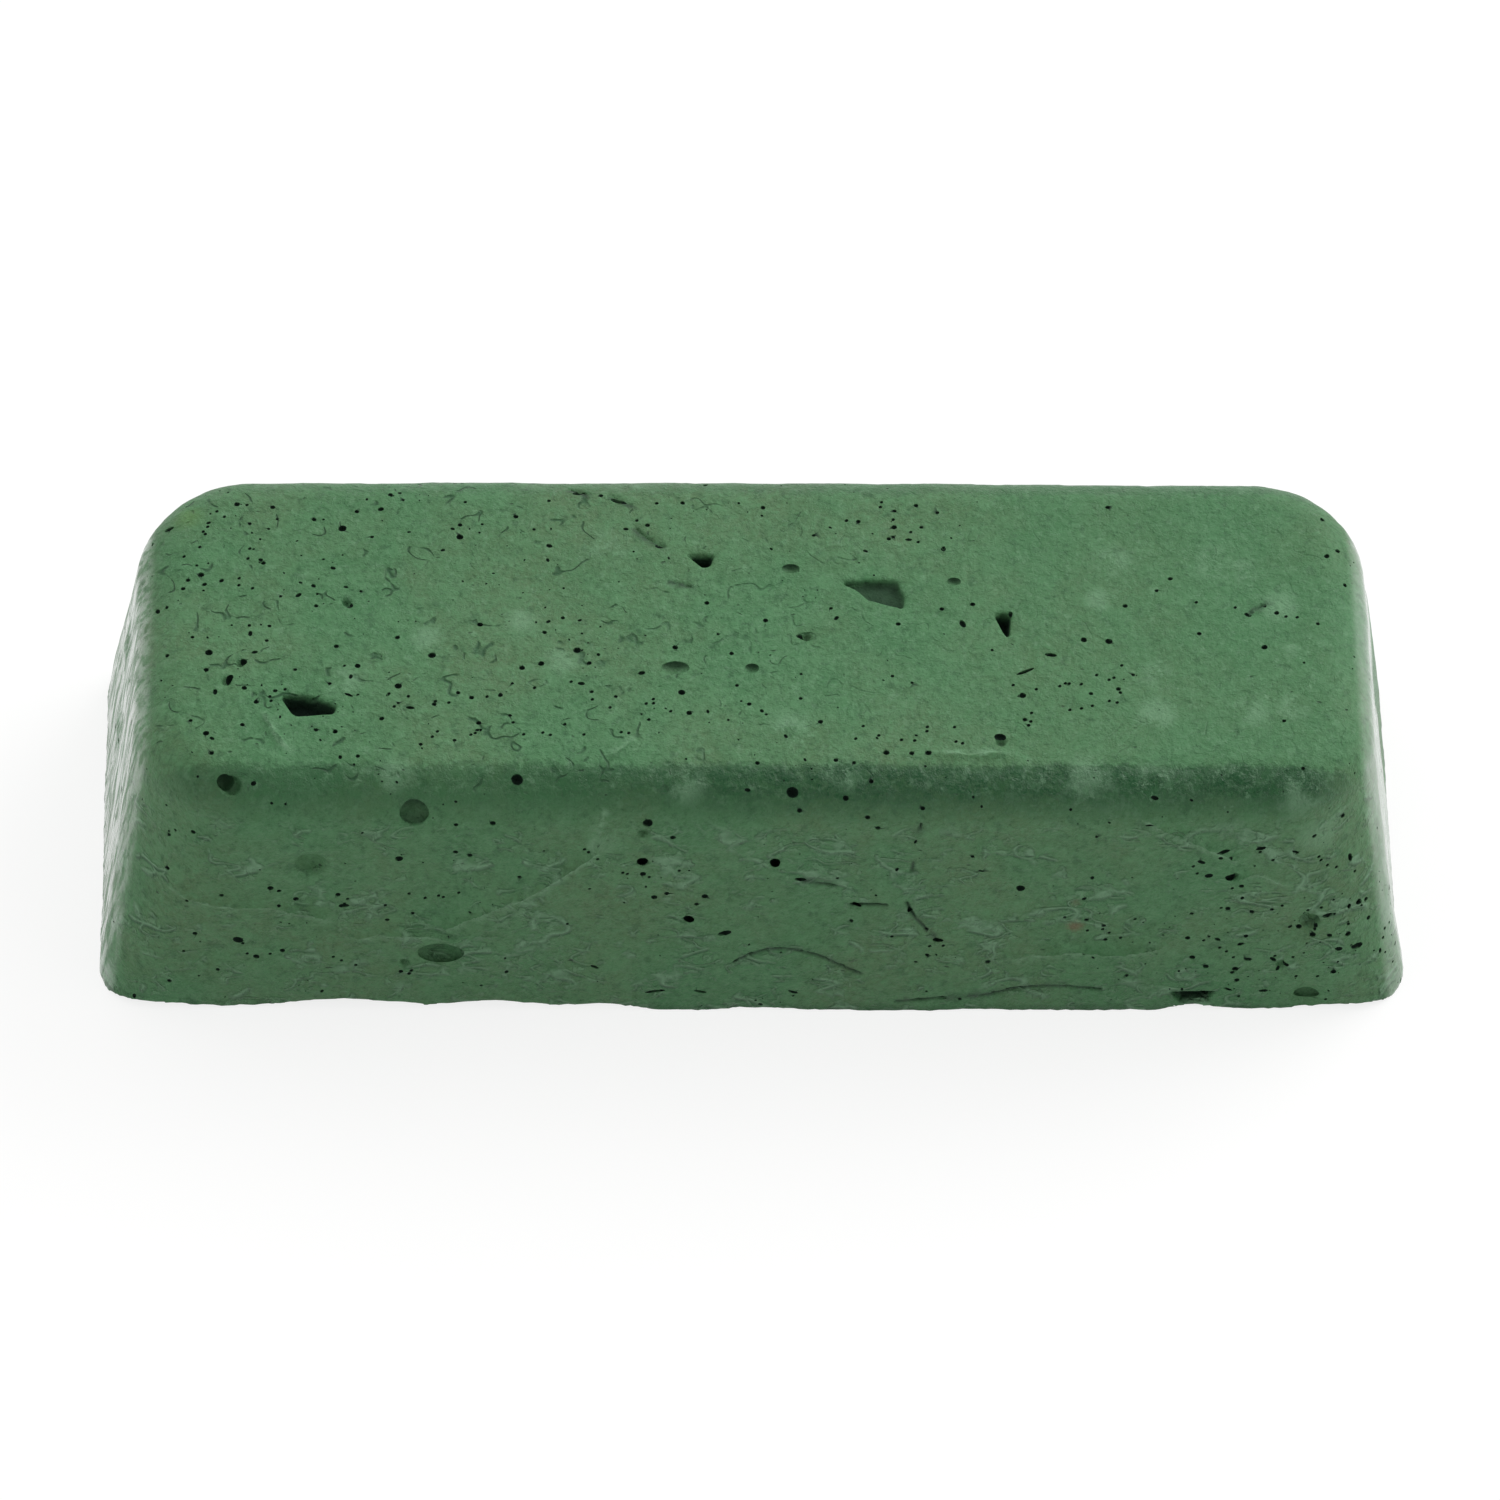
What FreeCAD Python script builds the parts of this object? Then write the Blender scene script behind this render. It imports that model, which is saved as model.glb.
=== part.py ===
import FreeCAD, Part
import math
import os
import Sketcher

# A bar of buffing compound: one casting, poured into an open mould and turned out on its poured side.
# The frame stands on the middle of the poured side, with X along the bar and Z up.
# Lengths are in millimetres and angles in degrees. Front is the long side towards -Y.

DRIVING_SIZES = {
    "base_length": 110.0,
    "base_width": 38.5,
    "bar_height": 27.0,
    "end_draft": 7.8,
    "side_draft": 3.0,
    "foot_corner_radius": 4.2,
    "shoulder_radius": 4.4,
    "flat_corner_radius": 5.4,
    "rim_undercut_reach": 3.0,
    "rim_undercut_drop": 0.3,
    "void_depth": 1.8,
    "shallow_void_depth": 0.7,
    "void_wall_slope": 11.0,
    "cut_clearance": 1.0,
}

# Shape of a burst bubble, as shares of its mouth radius: depth, and radius of its floor.
PORE_DEPTH = 1.1
PORE_FLOOR = 0.55

# Shape of a dent, as shares of the radius of the ball that would press it: mouth, height of its middle.
DENT_MOUTH = 0.8
DENT_LIFT = 0.6

# Height of the broken rim above the floor along each side: share of the side, millimetres.
FRONT_RIM = [
    (0.00, 0.7), (0.07, 0.9), (0.12, 0.5), (0.17, 1.5), (0.20, 1.9), (0.26, 1.0), (0.31, 1.6),
    (0.35, 1.0), (0.40, 1.2), (0.42, 0.4), (0.46, 0.1), (0.51, 0.5), (0.56, 0.1), (0.70, 0.1),
    (0.81, 0.1), (0.83, 1.1), (0.86, 0.4), (0.91, 0.6), (0.95, 1.0), (1.00, 0.5),
]
BACK_RIM = [
    (0.00, 0.6), (0.09, 0.3), (0.20, 0.9), (0.31, 0.2), (0.45, 0.7), (0.58, 0.2), (0.67, 1.2),
    (0.76, 0.3), (0.90, 0.5), (1.00, 0.8),
]
LEFT_RIM = [(0.00, 0.7), (0.15, 0.4), (0.33, 1.1), (0.48, 0.3), (0.70, 0.9), (0.85, 0.3), (1.00, 0.8)]
RIGHT_RIM = [(0.00, 0.5), (0.20, 0.2), (0.42, 0.8), (0.51, 1.7), (0.59, 0.4), (0.78, 0.1), (1.00, 0.6)]

# Angular holes in the top: middle as shares of half the length and half the width, depth, outline.
TOP_VOIDS = {
    "left_void": (
        -0.68, -0.43, "void_depth",
        [(-2.2, 0.9), (0.0, 1.0), (2.7, -0.2), (2.4, -1.1), (-0.7, -1.4), (-1.2, -1.0)],
    ),
    "middle_void": (-0.08, 0.38, "void_depth", [(-1.3, 0.7), (1.3, 0.6), (0.9, -0.7), (0.2, -0.9)]),
    "long_void": (
        0.18, 0.21, "shallow_void_depth",
        [(-2.8, 0.9), (-0.2, 1.2), (2.2, 1.1), (2.9, -0.7), (2.7, -2.0), (-0.3, -1.0), (-1.3, 0.0)],
    ),
    "right_void": (
        0.38, 0.01, "void_depth",
        [(-0.8, 1.3), (0.0, 1.6), (0.8, 1.3), (0.5, -1.6), (-0.1, -0.6)],
    ),
}

# Angular hole low in the front: middle as a share of half the length, outline above the floor in millimetres.
RIM_VOID_PLACE = 0.675
RIM_VOID_OUTLINE = [(-2.1, 2.4), (2.3, 2.5), (1.4, 0.9), (-1.0, 0.9)]

# Burst bubbles in the top: shares of half the length and half the width, mouth radius.
TOP_PORES = [
    (-0.78, -0.21, 0.45), (-0.62, 0.14, 0.45), (-0.80, -0.31, 0.50), (0.08, -0.05, 0.45), (0.37, -0.63, 0.50),
]

# Burst bubbles in the front: share of half the length, share of the height, mouth radius.
FRONT_PORES = [
    (-0.53, 0.22, 0.50), (-0.48, 0.25, 0.70), (-0.17, 0.69, 0.55), (-0.17, 0.82, 0.50), (-0.10, 0.43, 0.50),
    (0.03, 0.69, 0.50), (0.73, 0.62, 0.50), (0.81, 0.21, 0.50), (0.85, 0.41, 0.80),
]

# Dents in the front, given as its bubbles are.
FRONT_DENTS = [(-0.67, 0.68, 1.3)]

# Hollows in the rounded shoulder above the front: share of half the length, degrees down, ball radius.
SHOULDER_HOLLOWS = [(-0.79, 41.0, 0.85), (-0.515, 69.0, 1.20)]


def sizes_sheet(doc):
    """Sheet that holds the driving sizes, each under its own name."""
    sheet = doc.addObject("Spreadsheet::Sheet", "sizes")
    for row, (name, value) in enumerate(DRIVING_SIZES.items(), start=1):
        sheet.set(f"A{row}", name)
        sheet.set(f"B{row}", str(value))
        sheet.setAlias(f"B{row}", name)
    doc.recompute()
    return sheet


def drafted_block(doc):
    """The mould's hollow before its edges are rounded: widest at the poured side, drafted all round."""
    block = doc.addObject("Part::Wedge", "drafted_block")
    end_run = "sizes.bar_height * tan(sizes.end_draft * 1 deg)"
    side_run = "sizes.bar_height * tan(sizes.side_draft * 1 deg)"
    bounds = {
        "Xmin": "-sizes.base_length / 2",
        "Xmax": "sizes.base_length / 2",
        "X2min": f"-sizes.base_length / 2 + {end_run}",
        "X2max": f"sizes.base_length / 2 - {end_run}",
        "Zmin": "-sizes.base_width / 2",
        "Zmax": "sizes.base_width / 2",
        "Z2min": f"-sizes.base_width / 2 + {side_run}",
        "Z2max": f"sizes.base_width / 2 - {side_run}",
        "Ymax": "sizes.bar_height",
    }
    block.Ymin = 0
    for name, expression in bounds.items():
        block.setExpression(name, expression)
    stand_up = FreeCAD.Rotation(FreeCAD.Vector(1, 0, 0), 90)
    block.Placement = FreeCAD.Placement(FreeCAD.Vector(), stand_up)
    doc.recompute()
    return block


def rounded_corners(doc, block, size):
    """The four upright corners, which open from a small radius at the foot to a large one at the top."""
    foot_radius = size["foot_corner_radius"]
    head_radius = size["shoulder_radius"] + size["flat_corner_radius"]
    upright_edges = []
    for number, edge in enumerate(block.Shape.Edges, start=1):
        rise = edge.valueAt(edge.LastParameter).z - edge.valueAt(edge.FirstParameter).z
        if abs(rise) > size["bar_height"] / 2:
            radii = (foot_radius, head_radius) if rise > 0 else (head_radius, foot_radius)
            upright_edges.append((number, *radii))
    corners = doc.addObject("Part::Fillet", "rounded_corners")
    corners.Base = block
    corners.Edges = upright_edges
    doc.recompute()
    return corners


def rounded_shoulder(doc, body):
    """Large radius all round the top face."""
    base = body.Tip
    top_face = max(base.Shape.Faces, key=lambda face: face.CenterOfMass.z)
    top_edges = []
    for number, edge in enumerate(base.Shape.Edges, start=1):
        if any(edge.isSame(rim) for rim in top_face.Edges):
            top_edges.append(f"Edge{number}")
    shoulder = body.newObject("PartDesign::Fillet", "rounded_shoulder")
    shoulder.Base = (base, top_edges)
    shoulder.setExpression("Radius", "sizes.shoulder_radius")
    doc.recompute()


def origin_plane(body, role):
    return next(plane for plane in body.Origin.OriginFeatures if plane.Role == role)


def closed_sketch(body, name, role, place, edges):
    """Closed outline on an origin plane, shifted by expressions such as {"z": "sizes.bar_height"}."""
    sketch = body.newObject("Sketcher::SketchObject", name)
    sketch.AttachmentSupport = (origin_plane(body, role), [""])
    sketch.MapMode = "FlatFace"
    for axis, expression in place.items():
        sketch.setExpression(f"AttachmentOffset.Base.{axis}", expression)
    for edge in edges:
        sketch.addGeometry(edge, False)
    for first in range(len(edges)):
        following = (first + 1) % len(edges)
        sketch.addConstraint(Sketcher.Constraint("Coincident", first, 2, following, 1))
    return sketch


def polygon(points):
    """Straight edges through points, back to the first."""
    corners = [FreeCAD.Vector(x, y, 0) for x, y in points]
    return [Part.LineSegment(start, end) for start, end in zip(corners, corners[1:] + corners[:1])]


def wave_outline(heights, reach, low):
    """A smooth wave through the given heights, closed by straight edges below it."""
    points = [FreeCAD.Vector(reach * (2 * share - 1), height, 0) for share, height in heights]
    wave = Part.BSplineCurve()
    wave.interpolate(points)
    right_foot = FreeCAD.Vector(reach, low, 0)
    left_foot = FreeCAD.Vector(-reach, low, 0)
    return [
        wave,
        Part.LineSegment(points[-1], right_foot),
        Part.LineSegment(right_foot, left_foot),
        Part.LineSegment(left_foot, points[0]),
    ]


def broken_rim(doc, body, size):
    """Uneven rim of the poured side: each side is undercut up to a wave of its own."""
    high = -size["rim_undercut_drop"]
    low = high - size["cut_clearance"]
    sides = {
        "front": ("XZ_Plane", "base_length", "base_width", 1, FRONT_RIM),
        "back": ("XZ_Plane", "base_length", "base_width", -1, BACK_RIM),
        "right": ("YZ_Plane", "base_width", "base_length", 1, RIGHT_RIM),
        "left": ("YZ_Plane", "base_width", "base_length", -1, LEFT_RIM),
    }
    for name, (role, along, across, direction, heights) in sides.items():
        reach = size[along] / 2 + size["cut_clearance"]
        outer_place = {"z": f"{direction} * (sizes.{across} / 2 + sizes.cut_clearance)"}
        inner_place = {"z": f"{direction} * (sizes.{across} / 2 - sizes.rim_undercut_reach)"}
        wave = closed_sketch(body, f"{name}_rim_wave", role, outer_place, wave_outline(heights, reach, low))
        root_outline = polygon([(-reach, high), (reach, high), (reach, low), (-reach, low)])
        root = closed_sketch(body, f"{name}_rim_root", role, inner_place, root_outline)
        undercut = body.newObject("PartDesign::SubtractiveLoft", f"{name}_rim")
        undercut.Profile = wave
        undercut.Sections = [root]
        undercut.Ruled = True
        doc.recompute()


def void_pocket(doc, body, name, outline, depth):
    """Hole with flat, sloping walls where the skin tore away."""
    pocket = body.newObject("PartDesign::Pocket", name)
    pocket.Profile = outline
    pocket.setExpression("Length", f"sizes.{depth}")
    pocket.setExpression("TaperAngle", "-sizes.void_wall_slope")
    doc.recompute()


def angular_voids(doc, body):
    """The holes in the top, and the one low in the front."""
    for name, (along, across, depth, outline) in TOP_VOIDS.items():
        place = {
            "x": f"{along} * sizes.base_length / 2",
            "y": f"{across} * sizes.base_width / 2",
            "z": "sizes.bar_height",
        }
        sketch = closed_sketch(body, f"{name}_outline", "XY_Plane", place, polygon(outline))
        void_pocket(doc, body, name, sketch, depth)
    place = {"x": f"{RIM_VOID_PLACE} * sizes.base_length / 2", "z": "sizes.base_width / 2"}
    sketch = closed_sketch(body, "rim_void_outline", "XZ_Plane", place, polygon(RIM_VOID_OUTLINE))
    void_pocket(doc, body, "rim_void", sketch, "void_depth")


def on_top(along, across, lift):
    """Place over the top face, lift millimetres above its skin."""
    return {
        "x": f"{along} * sizes.base_length / 2",
        "y": f"{across} * sizes.base_width / 2",
        "z": f"sizes.bar_height + {lift:.3f}",
    }


def on_front(along, share, lift):
    """Place before the front face, lift millimetres out of its skin."""
    inset = f"{share} * sizes.bar_height * tan(sizes.side_draft * 1 deg)"
    return {
        "x": f"{along} * sizes.base_length / 2",
        "y": f"-(sizes.base_width / 2 - {inset} + {lift:.3f})",
        "z": f"{share} * sizes.bar_height",
    }


def on_shoulder(along, down):
    """Place on the rounded shoulder over the front, down degrees from its upper edge."""
    top_half_width = "sizes.base_width / 2 - sizes.bar_height * tan(sizes.side_draft * 1 deg)"
    return {
        "x": f"{along} * sizes.base_length / 2",
        "y": f"-({top_half_width} - sizes.shoulder_radius * (1 - sin({down} deg)))",
        "z": f"sizes.bar_height - sizes.shoulder_radius * (1 - cos({down} deg))",
    }


def place_hollow(hollow, place):
    for axis, expression in place.items():
        hollow.setExpression(f"Placement.Base.{axis}", expression)
    return hollow


def pore(doc, name, place, turn, mouth, proud):
    """Burst bubble: a steep cone that starts proud of the skin and narrows to a small floor."""
    slope = (1 - PORE_FLOOR) / PORE_DEPTH
    cone = doc.addObject("Part::Cone", name)
    cone.Placement.Rotation = turn
    cone.Radius1 = mouth + slope * proud
    cone.Radius2 = mouth * PORE_FLOOR
    cone.Height = mouth * PORE_DEPTH + proud
    return place_hollow(cone, place)


def ball(doc, name, place, radius):
    sphere = doc.addObject("Part::Sphere", name)
    sphere.Radius = radius
    return place_hollow(sphere, place)


def cast_bubbles(doc):
    """Every round hollow, joined into one shape."""
    into_top = FreeCAD.Rotation(FreeCAD.Vector(1, 0, 0), 180)
    into_front = FreeCAD.Rotation(FreeCAD.Vector(1, 0, 0), -90)
    hollows = []
    for side, place_on, inward, pores in (
        ("top", on_top, into_top, TOP_PORES),
        ("front", on_front, into_front, FRONT_PORES),
    ):
        for number, (along, share, mouth) in enumerate(pores, start=1):
            proud = mouth / 2
            place = place_on(along, share, proud)
            hollows.append(pore(doc, f"{side}_pore_{number}", place, inward, mouth, proud))
    for number, (along, share, mouth) in enumerate(FRONT_DENTS, start=1):
        radius = mouth / DENT_MOUTH
        hollows.append(ball(doc, f"front_dent_{number}", on_front(along, share, radius * DENT_LIFT), radius))
    for number, (along, down, radius) in enumerate(SHOULDER_HOLLOWS, start=1):
        hollows.append(ball(doc, f"shoulder_hollow_{number}", on_shoulder(along, down), radius))
    group = doc.addObject("Part::MultiFuse", "cast_bubbles")
    group.Shapes = hollows
    doc.recompute()
    return group


def check_and_write(doc, bar):
    failed = [item.Name for item in doc.Objects if "Invalid" in item.State or "Error" in item.State]
    if failed:
        raise RuntimeError(f"these objects failed: {failed}")
    if bar.Shape.isNull() or not bar.Shape.isValid() or len(bar.Shape.Solids) != 1:
        raise RuntimeError("the bar is not one valid solid")
    print(f"{bar.Label}: volume {bar.Shape.Volume:.1f}, {len(bar.Shape.Faces)} faces")
    os.makedirs("parts", exist_ok=True)
    bar.Shape.exportStep(f"parts/{bar.Label}.step")


def main():
    doc = FreeCAD.newDocument("compound_bar")
    sheet = sizes_sheet(doc)
    size = {name: float(sheet.get(name)) for name in DRIVING_SIZES}

    body = doc.addObject("PartDesign::Body", "trimmed_casting")
    body.BaseFeature = rounded_corners(doc, drafted_block(doc), size)
    doc.recompute()
    rounded_shoulder(doc, body)
    broken_rim(doc, body, size)
    angular_voids(doc, body)

    bar = doc.addObject("Part::Cut", "compound_bar")
    bar.Label = "compound_bar"
    bar.Base = body
    bar.Tool = cast_bubbles(doc)
    bar.Placement = FreeCAD.Placement()
    doc.recompute()
    check_and_write(doc, bar)


main()
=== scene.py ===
"""Buffing compound bar: the cast bar with its skin, laps, cracks and bubbles, and the stage it lies on."""

import math

import bmesh
import bpy
from mathutils import Matrix, Vector


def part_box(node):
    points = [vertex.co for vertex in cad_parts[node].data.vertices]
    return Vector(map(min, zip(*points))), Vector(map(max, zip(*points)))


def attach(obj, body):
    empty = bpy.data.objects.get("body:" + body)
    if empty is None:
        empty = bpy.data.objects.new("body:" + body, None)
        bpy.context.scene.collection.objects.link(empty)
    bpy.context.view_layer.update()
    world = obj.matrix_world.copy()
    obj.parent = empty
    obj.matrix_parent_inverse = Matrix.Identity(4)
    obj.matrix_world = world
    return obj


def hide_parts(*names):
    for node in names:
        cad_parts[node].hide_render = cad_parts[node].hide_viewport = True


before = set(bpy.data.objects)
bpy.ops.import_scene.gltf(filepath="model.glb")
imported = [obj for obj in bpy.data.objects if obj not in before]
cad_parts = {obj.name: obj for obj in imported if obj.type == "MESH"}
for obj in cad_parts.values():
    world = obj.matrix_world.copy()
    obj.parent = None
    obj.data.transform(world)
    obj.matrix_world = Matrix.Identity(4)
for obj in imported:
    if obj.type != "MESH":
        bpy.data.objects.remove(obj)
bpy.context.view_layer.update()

bl_info = {
    "name": "Buffing Compound Bar",
    "version": (1, 0, 0),
    "blender": (4, 5, 0),
    "location": "View3D > Sidebar > Compound Bar",
    "description": "Makes a cast bar of green buffing compound and the stage it lies on",
    "category": "Add Mesh",
}

MM = 0.001
NODE = "compound_bar"
LOW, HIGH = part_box(NODE)
LENGTH = HIGH.x - LOW.x
WIDTH = HIGH.y - LOW.y
HEIGHT = HIGH.z - LOW.z
MIDDLE = (LOW + HIGH) / 2

# How far the walls lean in over the full height, and the radius of the shoulder
END_LEAN = HEIGHT * math.tan(math.radians(7.8))
SIDE_LEAN = HEIGHT * math.tan(math.radians(3.0))
SHOULDER = 4.4 * MM

# Places on the bar, in millimetres: on the top as (x, y), on the front and the back as (x, height),
# on the ends as (y, height), and on the front shoulder as (x, degrees down from the flat)
CRACKS = (
    ("top", (-15.3, 15.4), (-13.8, 14.7)),
    ("top", (-11.9, 14.4), (-10.2, 13.4)),
    ("top", (-9.8, 10.8), (-8.4, 9.2), (-7.4, 8.8)),
    ("top", (-7.0, 4.9), (-5.1, 4.4)),
    ("front", (13.7, 23.4), (13.5, 22.0)), ("front", (13.2, 18.8), (13.1, 17.6)),
    ("front", (12.8, 13.6), (13.1, 12.4), (14.4, 10.6), (15.5, 8.9)),
    ("front", (-1.5, 6.2), (0.1, 7.6), (2.8, 8.2), (5.4, 7.3), (7.5, 5.7), (9.2, 4.7)),
    ("front", (12.2, 1.3), (15.0, 1.6), (19.7, 1.9), (22.8, 3.0), (27.0, 3.2), (29.4, 2.7)),
    ("front", (3.9, 16.5), (6.8, 15.7)),
    ("front", (8.1, 13.4), (11.1, 13.4)),
    ("top", (41.6, 1.6), (42.2, 2.4), (42.9, 2.7)),
    ("back", (-31.0, 24.0), (-28.5, 19.5), (-29.8, 14.0), (-26.0, 9.0)),
    ("back", (18.0, 7.2), (23.0, 8.6), (29.0, 6.4), (33.5, 7.0)),
    ("back", (2.0, 17.2), (6.5, 16.4), (9.0, 17.0)),
)
LAPS = (
    ("top", (-10.2, -12.4), (-11.9, -13.9)),
    ("front", (-12.6, 24.5), (-13.2, 21.0), (-13.4, 19.3), (-15.8, 17.3), (-18.3, 14.8), (-20.6, 13.4),
     (-25.8, 10.5)),
    ("front", (32.4, 23.7), (37.0, 20.6), (39.9, 19.0)),
    ("front", (40.5, 16.7), (41.4, 17.3), (42.7, 16.9), (44.2, 15.8)),
    ("top", (-40.7, -9.7), (-40.2, -11.6), (-38.6, -13.6)),
    ("top", (14.6, -13.5), (16.6, -13.8), (20.5, -13.6)),
    ("front", (-49.0, 14.4), (-44.5, 12.5), (-40.0, 13.0), (-36.0, 11.6)),
    ("front", (-33.0, 9.0), (-29.0, 10.0), (-25.0, 8.8)),
    ("front", (22.0, 6.6), (27.0, 7.8), (31.0, 7.0), (34.0, 8.0)),
    ("back", (40.0, 20.0), (34.0, 17.5), (27.0, 18.6), (21.0, 15.5)),
    ("back", (-8.0, 12.0), (-2.0, 10.2), (4.0, 11.0), (9.0, 9.4)),
    ("back", (-46.0, 8.0), (-41.0, 9.5), (-36.0, 7.5)),
)
# Rows of pinholes
STRINGS = (
    ("top", (-41.8, 8.4), (-41.9, 5.6), (-43.6, 3.0)), ("top", (-38.6, -4.6), (-39.9, -7.2), (-40.6, -9.4)),
    ("top", (-32.5, -7.5), (-26.0, -9.0), (-19.0, -7.4)), ("top", (-26.5, -11.5), (-18.0, -10.8), (-10.5, -11.6)),
    ("top", (-10.0, 12.6), (-7.4, 9.6)), ("top", (-16.0, -6.0), (-10.6, -9.0), (-3.0, -9.4)),
    ("top", (11.0, 13.4), (15.4, 9.4)), ("top", (20.5, -7.6), (27.0, -5.2), (34.0, -4.4)),
    ("top", (21.0, -10.4), (30.0, -8.6)), ("top", (38.0, 3.4), (46.0, 0.6)),
    ("top", (-47.6, 8.6), (-44.6, 12.0), (-43.0, 14.4)), ("top", (9.0, -11.4), (18.0, -11.8)),
    ("front", (-34.5, 14.0), (-29.0, 13.2), (-24.0, 14.4)), ("front", (-14.0, 19.8), (-9.0, 16.6), (-5.0, 17.0)),
    ("front", (12.0, 9.6), (15.6, 7.6)), ("front", (36.0, 17.6), (44.0, 14.0), (50.0, 10.0)),
    ("front", (37.0, 8.6), (43.0, 7.0), (49.0, 3.0)), ("front", (39.0, 20.2), (47.0, 18.6), (51.5, 16.0)),
    ("front", (-45.0, 8.0), (-38.0, 6.6), (-31.0, 5.0)), ("front", (26.0, 11.4), (30.0, 9.0)),
)
# Swellings and hollows: place, how far they reach and how high they stand, in millimetres
SWELLS = (
    ("right", -15.5, 1.0, 7.0, 0.45), ("front", -24.4, 9.6, 1.8, 0.22),
    ("front", -37.4, 20.4, 3.4, 0.25), ("front", -37.2, 18.2, 2.4, -0.45), ("front", -45.6, 6.8, 2.6, -0.2),
    ("front", 45.8, 10.9, 2.2, -0.35), ("front", 46.8, 2.0, 1.9, -0.45), ("right", 14.0, 17.0, 3.5, 0.4),
    ("right", 13.5, 9.5, 2.0, -0.5), ("left", 6.0, 17.0, 2.6, 0.35), ("left", 2.0, 11.5, 2.2, 0.3),
    ("front", 3.4, 6.2, 5.0, 0.25), ("back", -20.0, 12.0, 5.0, -0.3), ("back", 28.0, 16.0, 4.0, 0.3),
)
# Wide bubbles: place, half length, half width and depth, in millimetres
BOWLS = (
    ("shoulder", -43.6, 41.5, 0.80, 0.80, 0.8), ("shoulder", -28.3, 70.0, 1.55, 1.20, 0.6),
    ("front", 46.9, 1.9, 1.4, 0.6, 0.45), ("top", -6.6, -4.5, 1.2, 0.7, 0.45), ("top", -0.2, -4.5, 0.6, 0.5, 0.4),
    ("top", 3.2, 6.5, 0.75, 0.5, 0.4), ("top", 16.9, 5.1, 0.6, 0.45, 0.4), ("front", -26.4, 7.0, 2.1, 1.3, 0.7),
)
# The shoulder's wide bubble is a shallow dish: place, reach and depth, in millimetres
DISH = ("shoulder", -28.3, 70.0)
DISH_REACH = 2.6
DISH_DEPTH = 0.45
# Stains: place and reach in millimetres, share and colour
STAINS = (
    ("front", 27.0, 10.7, 1.1, 0.45, "stain"), ("front", 26.9, 13.6, 0.8, 0.2, "stain"),
    ("front", 48.8, 21.6, 0.7, 0.35, "stain"), ("top", -47.6, 12.2, 2.0, 0.5, "moss"),
)
# Frosty patches: place and reach in millimetres
FROST = (
    ("top", 33.3, -9.4, 2.2), ("top", 41.3, -9.2, 1.8), ("top", 44.8, -8.6, 1.6), ("top", 33.6, -5.0, 1.6),
    ("top", 30.4, 7.4, 2.0), ("top", 38.6, 7.4, 2.2), ("top", 41.3, 6.2, 1.8), ("top", 29.0, 3.2, 1.5),
    ("top", 46.0, -2.2, 2.0), ("top", 44.2, 2.4, 2.0), ("top", -16.0, -3.6, 1.8), ("top", -27.4, -1.2, 1.8),
    ("top", -19.5, 0.6, 1.6), ("top", -12.4, 8.6, 2.4), ("top", 3.0, -11.0, 2.2), ("top", -34.2, -6.0, 1.8),
    ("shoulder", 27.5, 30.0, 2.4), ("shoulder", 33.0, 38.0, 2.0), ("shoulder", 40.0, 45.0, 2.6),
    ("shoulder", 45.5, 55.0, 2.2), ("shoulder", -6.0, 40.0, 2.2), ("shoulder", 7.0, 25.0, 2.0),
    ("shoulder", -30.0, 30.0, 1.8), ("front", 47.5, 21.0, 3.0), ("front", -12.6, 21.0, 1.6),
)
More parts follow.
